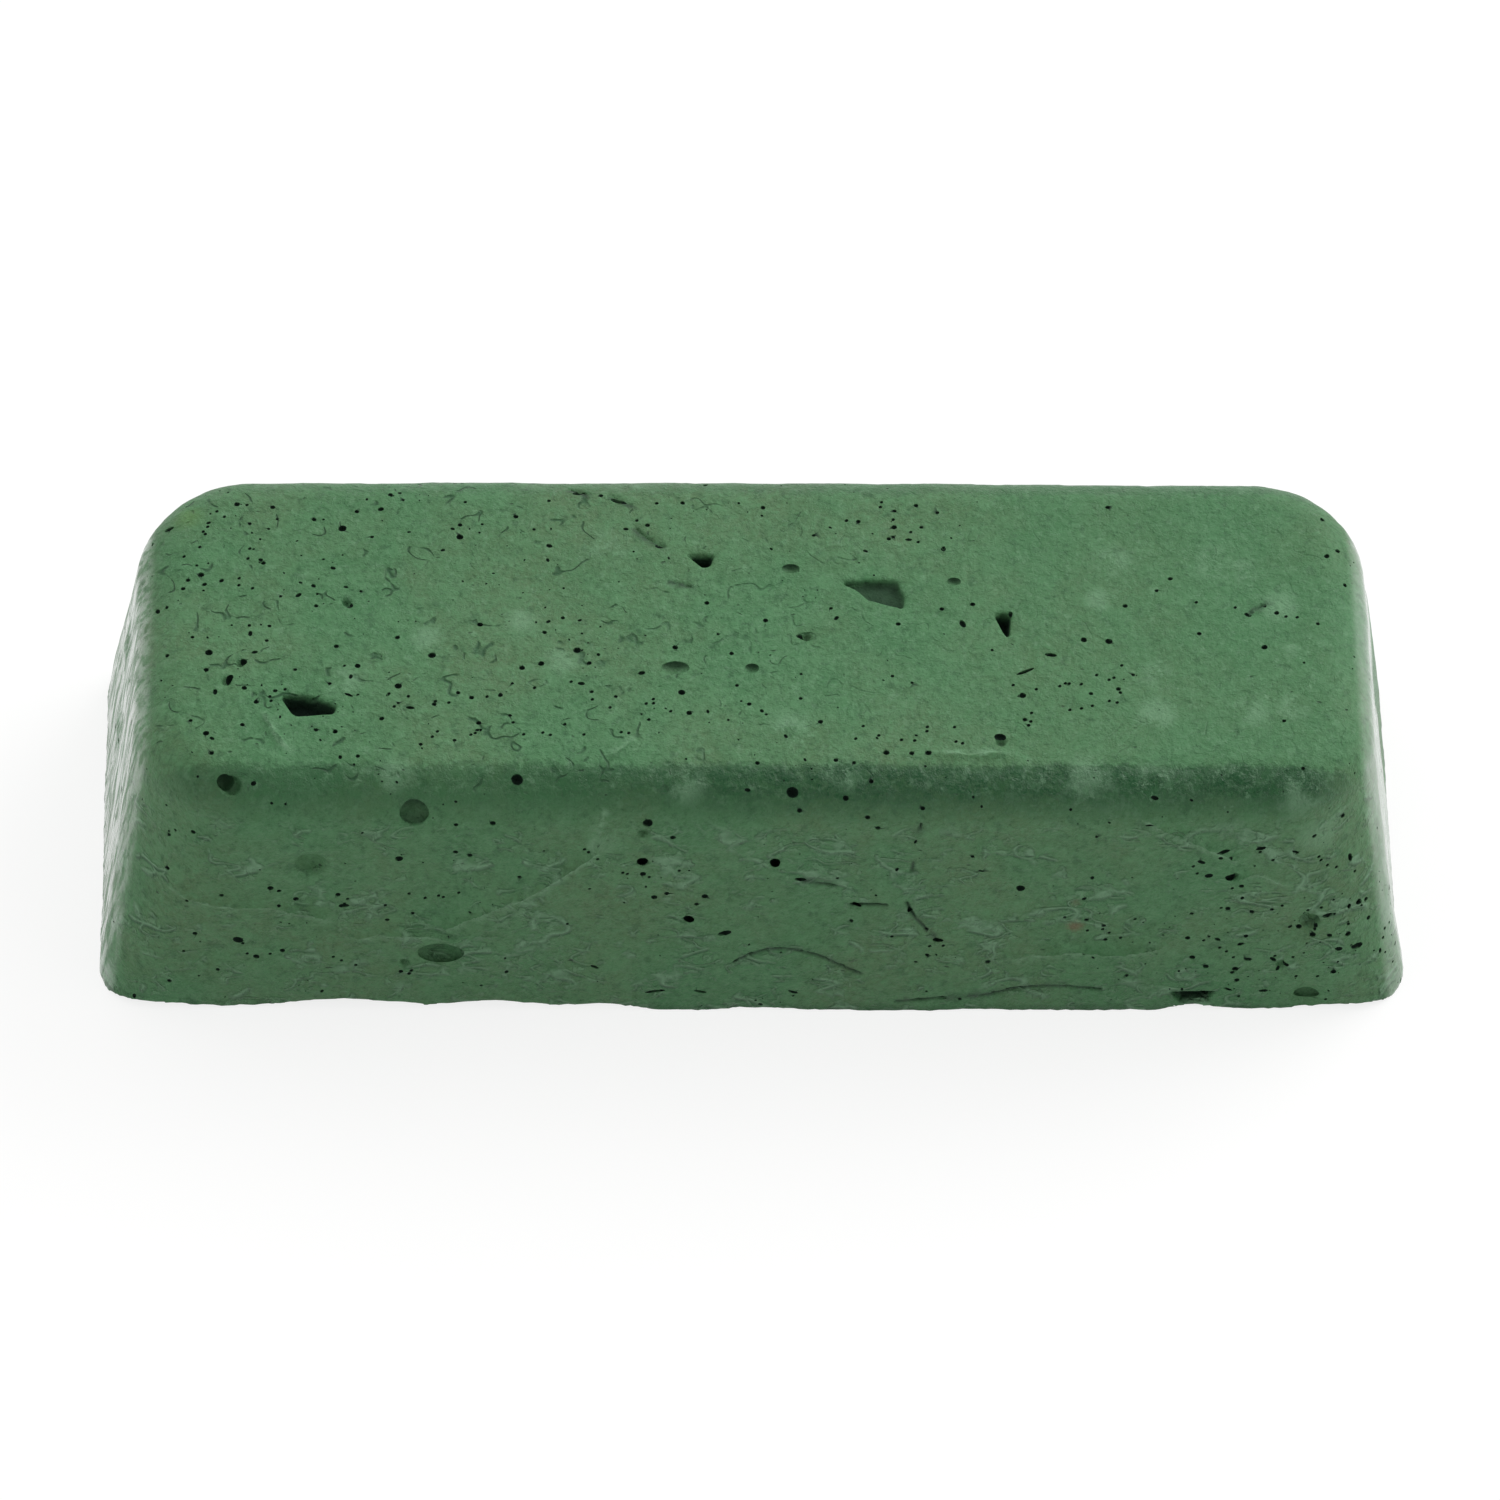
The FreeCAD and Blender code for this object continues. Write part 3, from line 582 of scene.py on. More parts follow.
def bubble_tree(sizes, material, blank, singles, bowls, strings, cracks, laps, frost):
    """Bubbles and pinholes cut out of the skin, and the marks that the finish reads, among them how much painted shade
    each pit gets.
    """
    tree = Growth("Burst Bubbles")
    body = tree.geometry()
    most = tree.ask("Pinhole Density", sizes.pinhole_density)
    small = tree.ask("Pinhole Smallest", sizes.pinhole_smallest)
    large = tree.ask("Pinhole Largest", sizes.pinhole_largest)
    spacing = tree.ask("Pinhole Spacing", sizes.pinhole_spacing)
    seed = tree.ask("Seed", sizes.seed)
    single_points = tree.ask("Bubbles", singles)
    bowl_object = tree.ask("Bowls", bowls)
    string_lines = tree.ask("Strings", strings)
    blank_object = tree.ask("Blank", blank)
    crack_object = tree.ask("Cracks", cracks)
    lap_object = tree.ask("Laps", laps)
    frost_object = tree.ask("Frost", frost)

    def chance(least, greatest, seed):
        settings = {"data_type": "FLOAT"}
        return tree.node("FunctionNodeRandomValue", settings, {"Min": least, "Max": greatest, "Seed": seed})

    def given(source):
        return tree.node("GeometryNodeObjectInfo", {"transform_space": "ORIGINAL"}, {"Object": source}).out("Geometry")

    def laid(points):
        nearest = tree.node("GeometryNodeProximity", {"target_element": "FACES"}, {0: body}).out("Position")
        return tree.node("GeometryNodeSetPosition", {}, {"Geometry": points, "Position": nearest})

    place = tree.node("GeometryNodeInputPosition")
    facing = tree.node("GeometryNodeInputNormal")
    x, y, z = place.split()
    facing_z = facing.split()[2]
    skin_normal = tree.node(
        "GeometryNodeSampleNearestSurface", {"data_type": "FLOAT_VECTOR"}, {"Mesh": body, "Value": facing}
    )
    upright = tree.node("FunctionNodeAlignRotationToVector", {"axis": "Z"}, {"Vector": skin_normal})
    level = tree.node(
        "FunctionNodeAlignRotationToVector",
        {"axis": "X", "pivot_axis": "Z"},
        {"Rotation": upright, "Vector": (1.0, 0.0, 0.0)},
    )

    # Pinholes stand closer on the left of the top, in slanting bands, and low on the right of the front
    slant = tree.noise(tree.vector(x + y * 0.7, (y - x) * 0.25, z), 5.0 * MM, 11.0, detail=2.0).rise(0.48, 0.62)
    on_top = facing_z.rise(0.5, 0.9)
    left = x.fall(-12 * MM, 26 * MM)
    top_share = on_top * (0.06 + left * 0.44) * (0.1 + slant * 0.9)
    right = x.rise(24 * MM, 42 * MM) * z.fall(9 * MM, 18 * MM)
    patches = tree.noise(place, 6.0 * MM, 12.0, detail=2.0).rise(0.5, 0.68)
    wall_share = (1 - on_top) * (0.05 + right * 0.4 + patches * 0.18) * facing_z.rise(-0.9, -0.5)
    scatter = tree.node(
        "GeometryNodeDistributePointsOnFaces",
        {"distribute_method": "POISSON"},
        {"Mesh": body, "Distance Min": spacing, "Density Max": most,
         "Density Factor": (top_share + wall_share).least(1.0), "Seed": seed},
    )
    rows = tree.node("GeometryNodeCurveToPoints", {"mode": "LENGTH"}, {"Curve": given(string_lines), "Length": 0.7 * MM})
    astray = tree.node(
        "FunctionNodeRandomValue",
        {"data_type": "FLOAT_VECTOR"},
        {"Min": (-0.9 * MM,) * 3, "Max": (0.9 * MM,) * 3, "Seed": 26},
    )
    astray_rows = tree.node("GeometryNodeSetPosition", {}, {"Geometry": rows, "Offset": astray})
    draw = chance(0.0, 1.0, 27)
    spare = draw.work("GREATER_THAN", draw, 0.5)
    thin_rows = tree.node("GeometryNodeDeleteGeometry", {"domain": "POINT"}, {"Geometry": astray_rows, "Selection": spare})
    small_holes = tree.node("GeometryNodeJoinGeometry", {}, {"Geometry": [scatter, laid(thin_rows)]})
    mouth = small + (large - small) * chance(0.0, 1.0, 21) ** 3.0
    size = tree.vector(mouth * chance(0.9, 1.7, 22), mouth, mouth * 1.3)
    spin = tree.node("FunctionNodeEulerToRotation", {}, {0: tree.vector(z=chance(0.0, math.pi, 23))})
    turned = tree.node("FunctionNodeRotateRotation", {"rotation_space": "LOCAL"}, {"Rotation": upright, "Rotate By": spin})
    pinholes = bubble_pits(tree, small_holes, turned, size, 1, 1.0)

    points = tree.node("GeometryNodeMeshToPoints", {}, {"Mesh": laid(given(single_points))})
    own_size = tree.node("GeometryNodeInputNamedAttribute", {"data_type": "FLOAT_VECTOR"}, {"Name": "size"})
    tilt = tree.node("FunctionNodeEulerToRotation", {}, {0: tree.vector(z=chance(-0.5, 0.5, 25))})
    tilted = tree.node("FunctionNodeRotateRotation", {"rotation_space": "LOCAL"}, {"Rotation": level, "Rotate By": tilt})
    bubbles = bubble_pits(tree, points, tilted, own_size, 2, 1.0)

    # Bowls stand square to the hull, and get more painted shade on their far side
    hull = tree.node("GeometryNodeConvexHull", {}, {"Geometry": given(blank_object)})
    hull_normal = tree.node(
        "GeometryNodeSampleNearestSurface", {"data_type": "FLOAT_VECTOR"}, {"Mesh": hull, "Value": facing}
    )
    square = tree.node("FunctionNodeAlignRotationToVector", {"axis": "Z"}, {"Vector": hull_normal})
    square = tree.node(
        "FunctionNodeAlignRotationToVector",
        {"axis": "X", "pivot_axis": "Z"},
        {"Rotation": square, "Vector": (1.0, 0.0, 0.0)},
    )
    bowl_points = tree.node("GeometryNodeMeshToPoints", {}, {"Mesh": laid(given(bowl_object))})
    wide_pits = bubble_pits(tree, bowl_points, square, own_size, 3, 0.12 + y.rise(-0.2, 0.9) * 0.6)

    cut = tree.node(
        "GeometryNodeMeshBoolean",
        {"operation": "DIFFERENCE", "solver": "MANIFOLD"},
        {"Mesh 1": body, "Mesh 2": [pinholes, bubbles, wide_pits]},
    )

    # Depth of a bubble under the skin, and of a void under the hull, paint shade into the finish
    under_hull = tree.node("GeometryNodeProximity", {"target_element": "FACES"}, {0: hull}).out("Distance")
    even = tree.node("ShaderNodeVectorMath", {"operation": "DOT_PRODUCT"}, {0: facing, 1: hull_normal}).out("Value")
    steep = even.fall(0.35, 0.8)
    hole = tree.node("GeometryNodeInputNamedAttribute", {"data_type": "FLOAT"}, {"Name": "hole"})
    sunk = under_hull.rise(0.9 * MM, 1.5 * MM).most(steep * under_hull.rise(0.25 * MM, 0.6 * MM) * 0.9)
    flat = abs(y).fall(WIDTH / 2 - SIDE_LEAN - SHOULDER, WIDTH / 2 - SIDE_LEAN - SHOULDER + 1 * MM)
    flat = flat * abs(x).fall(LENGTH / 2 - END_LEAN - SHOULDER, LENGTH / 2 - END_LEAN - SHOULDER + 1 * MM)
    sunk = sunk.most((HEIGHT - z).rise(0.35 * MM, 0.8 * MM) * z.rise(HEIGHT / 2, HEIGHT * 0.6) * flat * 0.92)
    bowl_given = given(bowl_object)
    to_bowl = tree.node("GeometryNodeProximity", {"target_element": "POINTS"}, {0: bowl_given}).out("Distance")
    pit = (sunk * (1 - to_bowl.fall(1.2 * MM, 2.2 * MM) * 0.7)).most(hole)
    to_crack = laid_lines(tree, crack_object, body, 0.4 * MM)
    to_crack = tree.node("GeometryNodeProximity", {"target_element": "EDGES"}, {0: to_crack}).out("Distance")
    to_lap = laid_lines(tree, lap_object, body, 0.4 * MM)
    to_lap = tree.node("GeometryNodeProximity", {"target_element": "EDGES"}, {0: to_lap}).out("Distance")
    patches_given = given(frost_object)
    to_frost = tree.node("GeometryNodeProximity", {"target_element": "POINTS"}, {0: patches_given}).out("Distance")
    closest = tree.node("GeometryNodeSampleNearest", {"domain": "POINT"}, {"Geometry": patches_given})
    reach = tree.node(
        "GeometryNodeSampleIndex",
        {"data_type": "FLOAT_VECTOR", "domain": "POINT"},
        {"Geometry": patches_given, "Value": own_size, "Index": closest},
    ).split()[0]
    marks = {
        "pit": pit,
        "crack": to_crack.fall(0.05 * MM, 0.35 * MM),
        "lap": abs(to_lap + (tree.noise(place, 1.1 * MM, 13.0) - 0.5) * 0.8 * MM).fall(0.0, 0.3 * MM),
        "frost": (to_frost / reach.most(0.1 * MM)).fall(0.3, 1.1),
    }
    marked = cut
    for name, value in marks.items():
        marked = tree.node(
            "GeometryNodeStoreNamedAttribute",
            {"data_type": "FLOAT", "domain": "POINT"},
            {"Geometry": marked, "Name": name, "Value": value},
        )
    smooth = tree.node("GeometryNodeSetShadeSmooth", {"domain": "FACE"}, {"Geometry": marked, "Shade Smooth": True})
    edge = tree.node("GeometryNodeInputMeshEdgeAngle")
    sharp = tree.node(
        "GeometryNodeSetShadeSmooth",
        {"domain": "EDGE"},
        {"Geometry": smooth, "Selection": edge.work("GREATER_THAN", edge, math.radians(50)), "Shade Smooth": False},
    )
    tree.finish(sharp, tree.ask("Material", material))
    return tree


def flow_marks(sheet, x, y, z, lift):
    """Wavy lips of the pour on a wall, 1 on the crest; the lift looks that far above, so a lifted copy falls just
    below the crest, where a painted shadow goes.
    """
    place = sheet.vector(x * 0.55, y * 0.4, z + lift + x * 0.06)
    broad = sheet.noise(place, 3.4 * MM, 35.0, detail=1.5, rough=0.5, twist=0.3)
    fine = sheet.noise(place, 2.0 * MM, 43.0, detail=1.0, rough=0.5)
    return broad.hump(0.5, 0.045).most(fine.hump(0.5, 0.035) * 0.8)


def compound_finish(colours):
    """Wax-bound green grit: mottled, frosted in flecks, with painted shade on the front shoulder (partly burnished
    skin), in bubbles, cracks, slits and creases, under flow crests and at the foot, and a painted highlight on flow
    crests and lap lips.
    """
    material = bpy.data.materials.new("green_compound")
    material.use_nodes = True
    sheet = Recipe(material.node_tree)
    place = sheet.node("ShaderNodeTexCoord").out("Object")
    x, y, z = place.split()

    clouds = sheet.noise(place, 12 * MM, 31.0, detail=4.0, rough=0.6)
    patches = sheet.noise(place, 3.0 * MM, 32.0, detail=5.0, rough=0.65)
    speckle = sheet.noise(place, 0.60 * MM, 33.0, detail=4.0, rough=0.75)
    dust = sheet.noise(place, 0.22 * MM, 34.0, detail=2.0, rough=0.7)
    blots = sheet.noise(place, 1.4 * MM, 46.0, detail=5.0, rough=0.7, twist=0.4).rise(0.40, 0.60)

    # The angle round the shoulder: 0 where the wall ends, a right angle where the flat begins
    past_end = abs(x) - (LENGTH / 2 - z * (END_LEAN / HEIGHT) - SHOULDER)
    past_side = abs(y) - (WIDTH / 2 - z * (SIDE_LEAN / HEIGHT) - SHOULDER)
    turn = sheet.node(
        "ShaderNodeMath", {"operation": "ARCTAN2"}, {0: z - (HEIGHT - SHOULDER), 1: past_side.most(0.01 * MM)}
    )
    edge = turn + (patches - 0.5) * 0.4 + (speckle - 0.5) * 0.5
    # The dark band on the front shoulder is partly burnished skin and partly painted shade standing for the dark
    # reflection the shoulder shows towards the front; it is weaker on the back shoulder and darker to the right
    along_fold = edge.fall(math.radians(66), math.radians(76)) * edge.rise(math.radians(4), math.radians(50))
    along_fold = along_fold * past_end.fall(-1 * MM, 4 * MM) * (0.35 + y.fall(-1 * MM, 1 * MM) * 0.65)
    burnish_and_shade_band = along_fold * (0.55 + x.rise(-25 * MM, 10 * MM) * 0.45) * (0.55 + blots * 0.20 + speckle.rise(0.40, 0.52) * 0.35)
    on_end = (past_end - SHOULDER).rise(-1.4 * MM, -0.6 * MM)
    on_top = z.rise(HEIGHT - 1.6 * MM, HEIGHT - 0.8 * MM)
    on_wall = z.fall(HEIGHT - 5.5 * MM, HEIGHT - 2.5 * MM)

    marks = {
        name: sheet.node("ShaderNodeAttribute", {"attribute_name": name}).out("Fac")
        for name in ("pit", "crack", "lap", "frost")
    }
    pit = marks["pit"]

    # Flow marks run along the walls, with a painted highlight on each crest and a painted shadow just below it, and
    # dry and damp spots lie all over
    here = sheet.noise(place, 3.4 * MM, 36.0, detail=3.0, rough=0.6).rise(0.49, 0.57) * on_wall
    flows = flow_marks(sheet, x, y, z, 0.0) * here
    shaded = flow_marks(sheet, x, y, z, 0.28 * MM) * here
    dry = sheet.noise(place, 1.0 * MM, 44.0, detail=4.0, rough=0.65)
    damp = sheet.noise(place, 1.5 * MM, 45.0, detail=4.0, rough=0.65)
    scuffs = dry.rise(0.55, 0.66) * (0.5 + on_top * 0.5)
    hollowed = damp.fall(0.34, 0.45)
    crumbs = sheet.noise(place, 0.8 * MM, 47.0, detail=2.0, rough=0.6).rise(0.50, 0.62) * (here * 0.8 + 0.2)
    # Creases: thin wiggly grooves on the top, with painted shade in them and a shallow bump
    folds = sheet.noise(place, 2.8 * MM, 48.0, detail=1.2, rough=0.5, twist=0.3).hump(0.5, 0.024)
    broken = sheet.noise(place, 2.0 * MM, 49.0, detail=2.0).rise(0.53, 0.61)
    creases = folds * broken * on_top * (0.25 + x.fall(-20 * MM, 20 * MM) * 0.75)
    slits = sheet.noise(sheet.vector(x * 0.5, y * 0.9, z * 1.3), 0.5 * MM, 38.0, detail=1.0).fall(0.17, 0.26)

    body = sheet.blend(clouds.rise(0.35, 0.65), colours.body, colours.olive)
    body = sheet.blend(patches.rise(0.40, 0.72) * 0.5, body, colours.pale)
    body = sheet.blend(blots * 0.35, body, colours.pale)
    body = sheet.blend(speckle.rise(0.48, 0.66) * 0.75, body, colours.pale)
    body = sheet.blend(speckle.fall(0.32, 0.48) * 0.5, body, colours.shade)
    body = sheet.blend(dust.fall(0.25, 0.48) * 0.4, body, colours.shade)
    body = sheet.blend(dust.rise(0.52, 0.75) * 0.35, body, colours.pale)
    body = sheet.blend(on_top * x.rise(5 * MM, 30 * MM) * 0.4, body, colours.body)
    body = sheet.blend(burnish_and_shade_band, body, colours.shade)
    # Painted shadow along the bottom edge, under the rough undercut rim
    foot = (z + (patches - 0.5) * 1.6 * MM).fall(0.1 * MM, 1.0 * MM) * (1 - on_end)
    body = sheet.blend(foot * 0.6, body, colours.shade)
    # Painted shadow under the flow crests, painted shade in the creases, and darker damp spots
    body = sheet.blend((shaded * 0.75).most(hollowed * 0.42).most(creases * 0.9), body, colours.shade)
    # Painted highlight on the flow crests, and paler scuffs and crumbs
    body = sheet.blend((flows * 0.8).most(scuffs * 0.30).most(crumbs * 0.36), body, colours.frost)
    # Lap lips painted pale in the frost colour: a painted highlight on their lit crest
    body = sheet.blend(marks["lap"] * (0.35 + speckle.rise(0.38, 0.55) * 0.45), body, colours.frost)

    frosted = marks["frost"] + along_fold * x.rise(0.0, 25 * MM) * 0.4 + x.rise(10 * MM, 40 * MM) * on_top * 0.08
    frost = (patches * 0.4 + speckle * 0.7).rise(0.55, 0.62) * frosted
    body = sheet.blend((frost.least(1.0) * 0.5).most(marks["frost"] * patches.rise(0.40, 0.54) * 0.5), body, colours.frost)

    for face, across, up, reach, share, colour in STAINS:
        far = sheet.node("ShaderNodeVectorMath", {"operation": "DISTANCE"}, {0: place, 1: on_bar(face, across, up)})
        near = (far.out("Value") + (speckle - 0.5) * 1.2 * MM).fall(0.1 * MM, reach * MM)
        body = sheet.blend(near * share, body, getattr(colours, colour))
    # Painted shade in the slits and the cracks, in the near-black colour of the pits
    body = sheet.blend((slits * 0.7).most(marks["crack"] * speckle.rise(0.3, 0.5) * 0.8), body, colours.pit)
    # Painted shade inside bubbles, pinholes and voids, near black at the bottom
    body = sheet.blend(pit, body, colours.pit)

    # The ends were drawn along the mould's wall: glossy, in streaks, but for the broken lower back of one
    streaks = sheet.noise(sheet.vector(x, y, z * 0.05), 0.7 * MM, 37.0, detail=4.0, rough=0.7)
    torn = (y + (patches - 0.5) * 6 * MM).rise(2 * MM, 4 * MM) * z.fall(15 * MM, 19 * MM) * x.rise(0.0, 1 * MM)
    gloss = on_end * (1 - pit) * (0.10 + streaks.rise(0.40, 0.58) * 0.90).most(x.rise(0.0, 1 * MM) * 0.75) * (1 - torn * 0.85)
    relief = speckle * 0.26 + dust * 0.10 + patches * 0.5 + flows * 0.5 + crumbs * 0.3 + blots * 0.15 - slits * 0.3 - creases * 0.35
    relief = relief * (1 - on_end * 0.7 * (1 - torn)) + on_end * streaks * 0.12
    bump = sheet.node("ShaderNodeBump", {}, {"Strength": 1.0, "Distance": 0.45 * MM, "Height": relief})
    shader = sheet.node(
        "ShaderNodeBsdfPrincipled",
        {},
        {
            "Base Color": body,
            "Roughness": 0.5 + (patches - 0.5) * 0.25 + pit * 0.3 - burnish_and_shade_band * 0.22,
            "IOR": 1.34,
            "Coat Weight": gloss,
            "Coat Roughness": 0.10,
            "Coat IOR": 1.7,
            "Normal": bump,
        },
    )
    sheet.node("ShaderNodeOutputMaterial", {}, {"Surface": shader})
    return material


class CastingProperties(bpy.types.PropertyGroup):
    """Sizes of the relief that the casting leaves on the bar."""

    cell: bpy.props.FloatProperty(
        name="Cell", description="Width of the cells the skin is formed in", default=0.17 * MM, unit="LENGTH"
    )
    triangles: bpy.props.IntProperty(
        name="Triangles", description="Triangles of the skin before the bubbles are cut", default=130000
    )
    bow: bpy.props.FloatProperty(
        name="Bow", description="How far the long sides bulge at the top", default=0.42 * MM, unit="LENGTH"
    )
    lump_height: bpy.props.FloatProperty(
        name="Lump Height", description="Height of the broad lumps", default=0.42 * MM, unit="LENGTH"
    )
    lump_size: bpy.props.FloatProperty(
        name="Lump Size", description="Width of the broad lumps", default=9.0 * MM, unit="LENGTH"
    )
    grain_height: bpy.props.FloatProperty(
        name="Grain Height", description="Height of the fine grain", default=0.14 * MM, unit="LENGTH"
    )
    grain_size: bpy.props.FloatProperty(
        name="Grain Size", description="Width of the fine grain", default=1.3 * MM, unit="LENGTH"
    )
    lap_height: bpy.props.FloatProperty(
        name="Lap Height", description="Height of a lap's lip", default=0.26 * MM, unit="LENGTH"
    )
    lap_width: bpy.props.FloatProperty(
        name="Lap Width", description="Half width of a lap's lip", default=0.3 * MM, unit="LENGTH"
    )
    crack_depth: bpy.props.FloatProperty(
        name="Crack Depth", description="Depth of a crack", default=0.28 * MM, unit="LENGTH"
    )
    crack_width: bpy.props.FloatProperty(
        name="Crack Width", description="Half width of a crack", default=0.24 * MM, unit="LENGTH"
    )
    pour_height: bpy.props.FloatProperty(
        name="Pour Height", description="Roughness of the poured face and its rim", default=0.35 * MM,
        unit="LENGTH",
    )
    swell_share: bpy.props.FloatProperty(
        name="Swell Share", description="Share of the swellings' and hollows' height", default=1.0
    )
    pinhole_density: bpy.props.FloatProperty(
        name="Pinhole Density", description="Most pinholes on a square metre", default=0.9e6
    )
    pinhole_smallest: bpy.props.FloatProperty(
        name="Pinhole Smallest", description="Radius of the smallest pinhole", default=0.07 * MM, unit="LENGTH"
    )
    pinhole_largest: bpy.props.FloatProperty(
        name="Pinhole Largest", description="Radius of the largest pinhole", default=0.26 * MM, unit="LENGTH"
    )
    pinhole_spacing: bpy.props.FloatProperty(
        name="Pinhole Spacing", description="Least distance between pinholes", default=0.6 * MM, unit="LENGTH"
    )
    seed: bpy.props.IntProperty(name="Seed", description="Seed of the scattered pinholes", default=4)


class FinishProperties(bpy.types.PropertyGroup):
    """Colours of the compound, and of the painted shade in its bubbles, cracks and creases and on its front shoulder.
    """

    body: bpy.props.FloatVectorProperty(
        name="Body", description="Green of the compound", default=(0.048, 0.165, 0.062), subtype="COLOR"
    )
    olive: bpy.props.FloatVectorProperty(
        name="Olive", description="Duller green in the clouds", default=(0.075, 0.155, 0.066), subtype="COLOR"
    )
    pale: bpy.props.FloatVectorProperty(
        name="Pale", description="Lighter green of the dry skin", default=(0.085, 0.225, 0.100), subtype="COLOR"
    )
    # Shade serves burnished places and darker tone at random, and also the painted shade on the front shoulder, under
    # the flow crests, in the creases and at the foot
    shade: bpy.props.FloatVectorProperty(
        name="Shade", description="Green of burnished places", default=(0.013, 0.070, 0.024), subtype="COLOR"
    )
    frost: bpy.props.FloatVectorProperty(
        name="Frost", description="Wax bloom", default=(0.16, 0.31, 0.18), subtype="COLOR"
    )
    stain: bpy.props.FloatVectorProperty(
        name="Stain", description="Reddish stain", default=(0.20, 0.06, 0.045), subtype="COLOR"
    )
    moss: bpy.props.FloatVectorProperty(
        name="Moss", description="Yellowish stain", default=(0.10, 0.21, 0.05), subtype="COLOR"
    )
    # The near-black colour of the painted shade inside bubbles, voids, cracks and slits
    pit: bpy.props.FloatVectorProperty(
        name="Pit", description="Bottom of a bubble", default=(0.004, 0.018, 0.010), subtype="COLOR"
    )


class StageProperties(bpy.types.PropertyGroup):
    """The floor, the lights and the camera."""

    elevation: bpy.props.FloatProperty(
        name="Elevation", description="How steeply the camera looks down", default=math.radians(50.0),
        unit="ROTATION",
    )
    azimuth: bpy.props.FloatProperty(
        name="Azimuth", description="How far the camera stands round the bar", default=math.radians(-2.2),
        unit="ROTATION",
    )
    roll: bpy.props.FloatProperty(
        name="Roll", description="How far the camera leans", default=math.radians(1.8), unit="ROTATION"
    )
    distance: bpy.props.FloatProperty(
        name="Distance", description="From the camera to the bar's middle", default=950 * MM, unit="LENGTH"
    )
    view_width: bpy.props.FloatProperty(
        name="View Width", description="Width that the picture takes in at the bar", default=126.9 * MM,
        unit="LENGTH",
    )
    drop: bpy.props.FloatProperty(
        name="Drop", description="How far under the bar's middle the camera aims", default=1.62 * MM,
        unit="LENGTH",
    )
    floor_colour: bpy.props.FloatVectorProperty(
        name="Floor", description="Colour of the floor", default=(0.80, 0.80, 0.80), subtype="COLOR"
    )
    shadow: bpy.props.FloatProperty(
        name="Shadow", description="How much of the floor's white a full shadow takes", default=0.22
    )
    sky: bpy.props.FloatProperty(name="Sky", description="Level of the soft light all round", default=1.0)
    key_power: bpy.props.FloatProperty(
        name="Key Power", description="Power of the soft lamp behind the bar", default=3.8, unit="POWER"
    )


class COMPOUND_OT_bar(bpy.types.Operator):
    """Make the cast bar of compound with its skin and bubbles"""

    bl_idname = "compound.bar"
    bl_label = "Cast Bar"

    def execute(self, context):
        sizes = context.scene.compound_casting
        material = compound_finish(context.scene.compound_finish)
        cracks = lines_object("crack_lines", CRACKS)
        laps = lines_object("lap_lines", LAPS)
        strings = lines_object("pinhole_strings", STRINGS)
        singles = marks_object("single_bubbles", single_bubbles())
        bowls = marks_object("bowls", [(on_bar(*bowl[:3]), bowl[3:]) for bowl in BOWLS])
        frost = marks_object("frost_patches", [(on_bar(*patch[:3]), (patch[3], 0.0, 0.0)) for patch in FROST])
        blank = linked("bar_blank", merged_copy(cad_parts[NODE]))

        skin = linked("bar_skin", blank.data.copy())
        cells = skin.modifiers.new("Cells", "REMESH")
        cells.mode = "VOXEL"
        cells.voxel_size = sizes.cell
        skin_tree(sizes, material, cracks, laps).put_on(skin)
        bar = linked("cast_bar", plain_mesh(skin))

        thin = bar.modifiers.new("Thin", "DECIMATE")
        count = sum(len(face.vertices) - 2 for face in bar.data.polygons)
        thin.ratio = min(1.0, sizes.triangles / count)
        bubble_tree(sizes, material, blank, singles, bowls, strings, cracks, laps, frost).put_on(bar)
        finished = plain_mesh(bar)
        bar.modifiers.clear()
        bar.data = finished
        if len(finished.polygons) < sizes.triangles / 2:
            raise RuntimeError(f"the cast bar lost its skin: {len(finished.polygons)} faces left")
        for helper in (cracks, laps, strings, singles, bowls, frost, blank, skin):
            bpy.data.objects.remove(helper)
        print("cast_bar", count, "->", len(finished.polygons), "faces")

        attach(bar, "root")
        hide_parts(NODE)
        return {"FINISHED"}


def floor_finish(stage):
    """A pale floor that keeps the bar's shadow and shows white in the picture and in reflections."""
    material = bpy.data.materials.new("pale_floor")
    material.use_nodes = True
    sheet = Recipe(material.node_tree)
    ray = sheet.node("ShaderNodeLightPath")
    seen = ray.out("Is Camera Ray").most(ray.out("Is Glossy Ray")).most(ray.out("Is Transmission Ray"))
    matt = sheet.node("ShaderNodeBsdfDiffuse", {}, {"Color": stage.floor_colour[:]})
    faint = sheet.node("ShaderNodeBsdfDiffuse", {}, {"Color": (stage.shadow,) * 3})
    glow = sheet.node("ShaderNodeEmission", {}, {"Color": (1.0, 1.0, 1.0), "Strength": 1.03 - stage.shadow})
    white = sheet.node("ShaderNodeAddShader", {}, {0: faint, 1: glow})
    both = sheet.node("ShaderNodeMixShader", {}, {0: seen, 1: matt, 2: white})
    sheet.node("ShaderNodeOutputMaterial", {}, {"Surface": both})
    return material


def sky_light(stage, toward_camera):
    """Soft light from all round, dimmer from where the camera stands."""
    world = bpy.data.worlds.new("studio")
    world.use_nodes = True
    bpy.context.scene.world = world
    sheet = Recipe(world.node_tree)
    way = sheet.node("ShaderNodeTexCoord").out("Generated")
    facing = sheet.node("ShaderNodeVectorMath", {"operation": "DOT_PRODUCT"}, {0: way, 1: toward_camera[:]})
    level = stage.sky * (1 - 0.85 * facing.out("Value").rise(0.68, 0.95))
    light = sheet.node("ShaderNodeBackground", {}, {"Color": (1.0, 1.0, 0.985), "Strength": level})
    sheet.node("ShaderNodeOutputWorld", {}, {"Surface": light})


def aimed(made, spot, target, roll=0.0):
    """Puts a lamp or the camera at a spot and turns it to a target."""
    turn = (target - spot).to_track_quat("-Z", "Y").to_matrix().to_4x4()
    made.matrix_world = Matrix.Translation(spot) @ turn @ Matrix.Rotation(roll, 4, "Z")


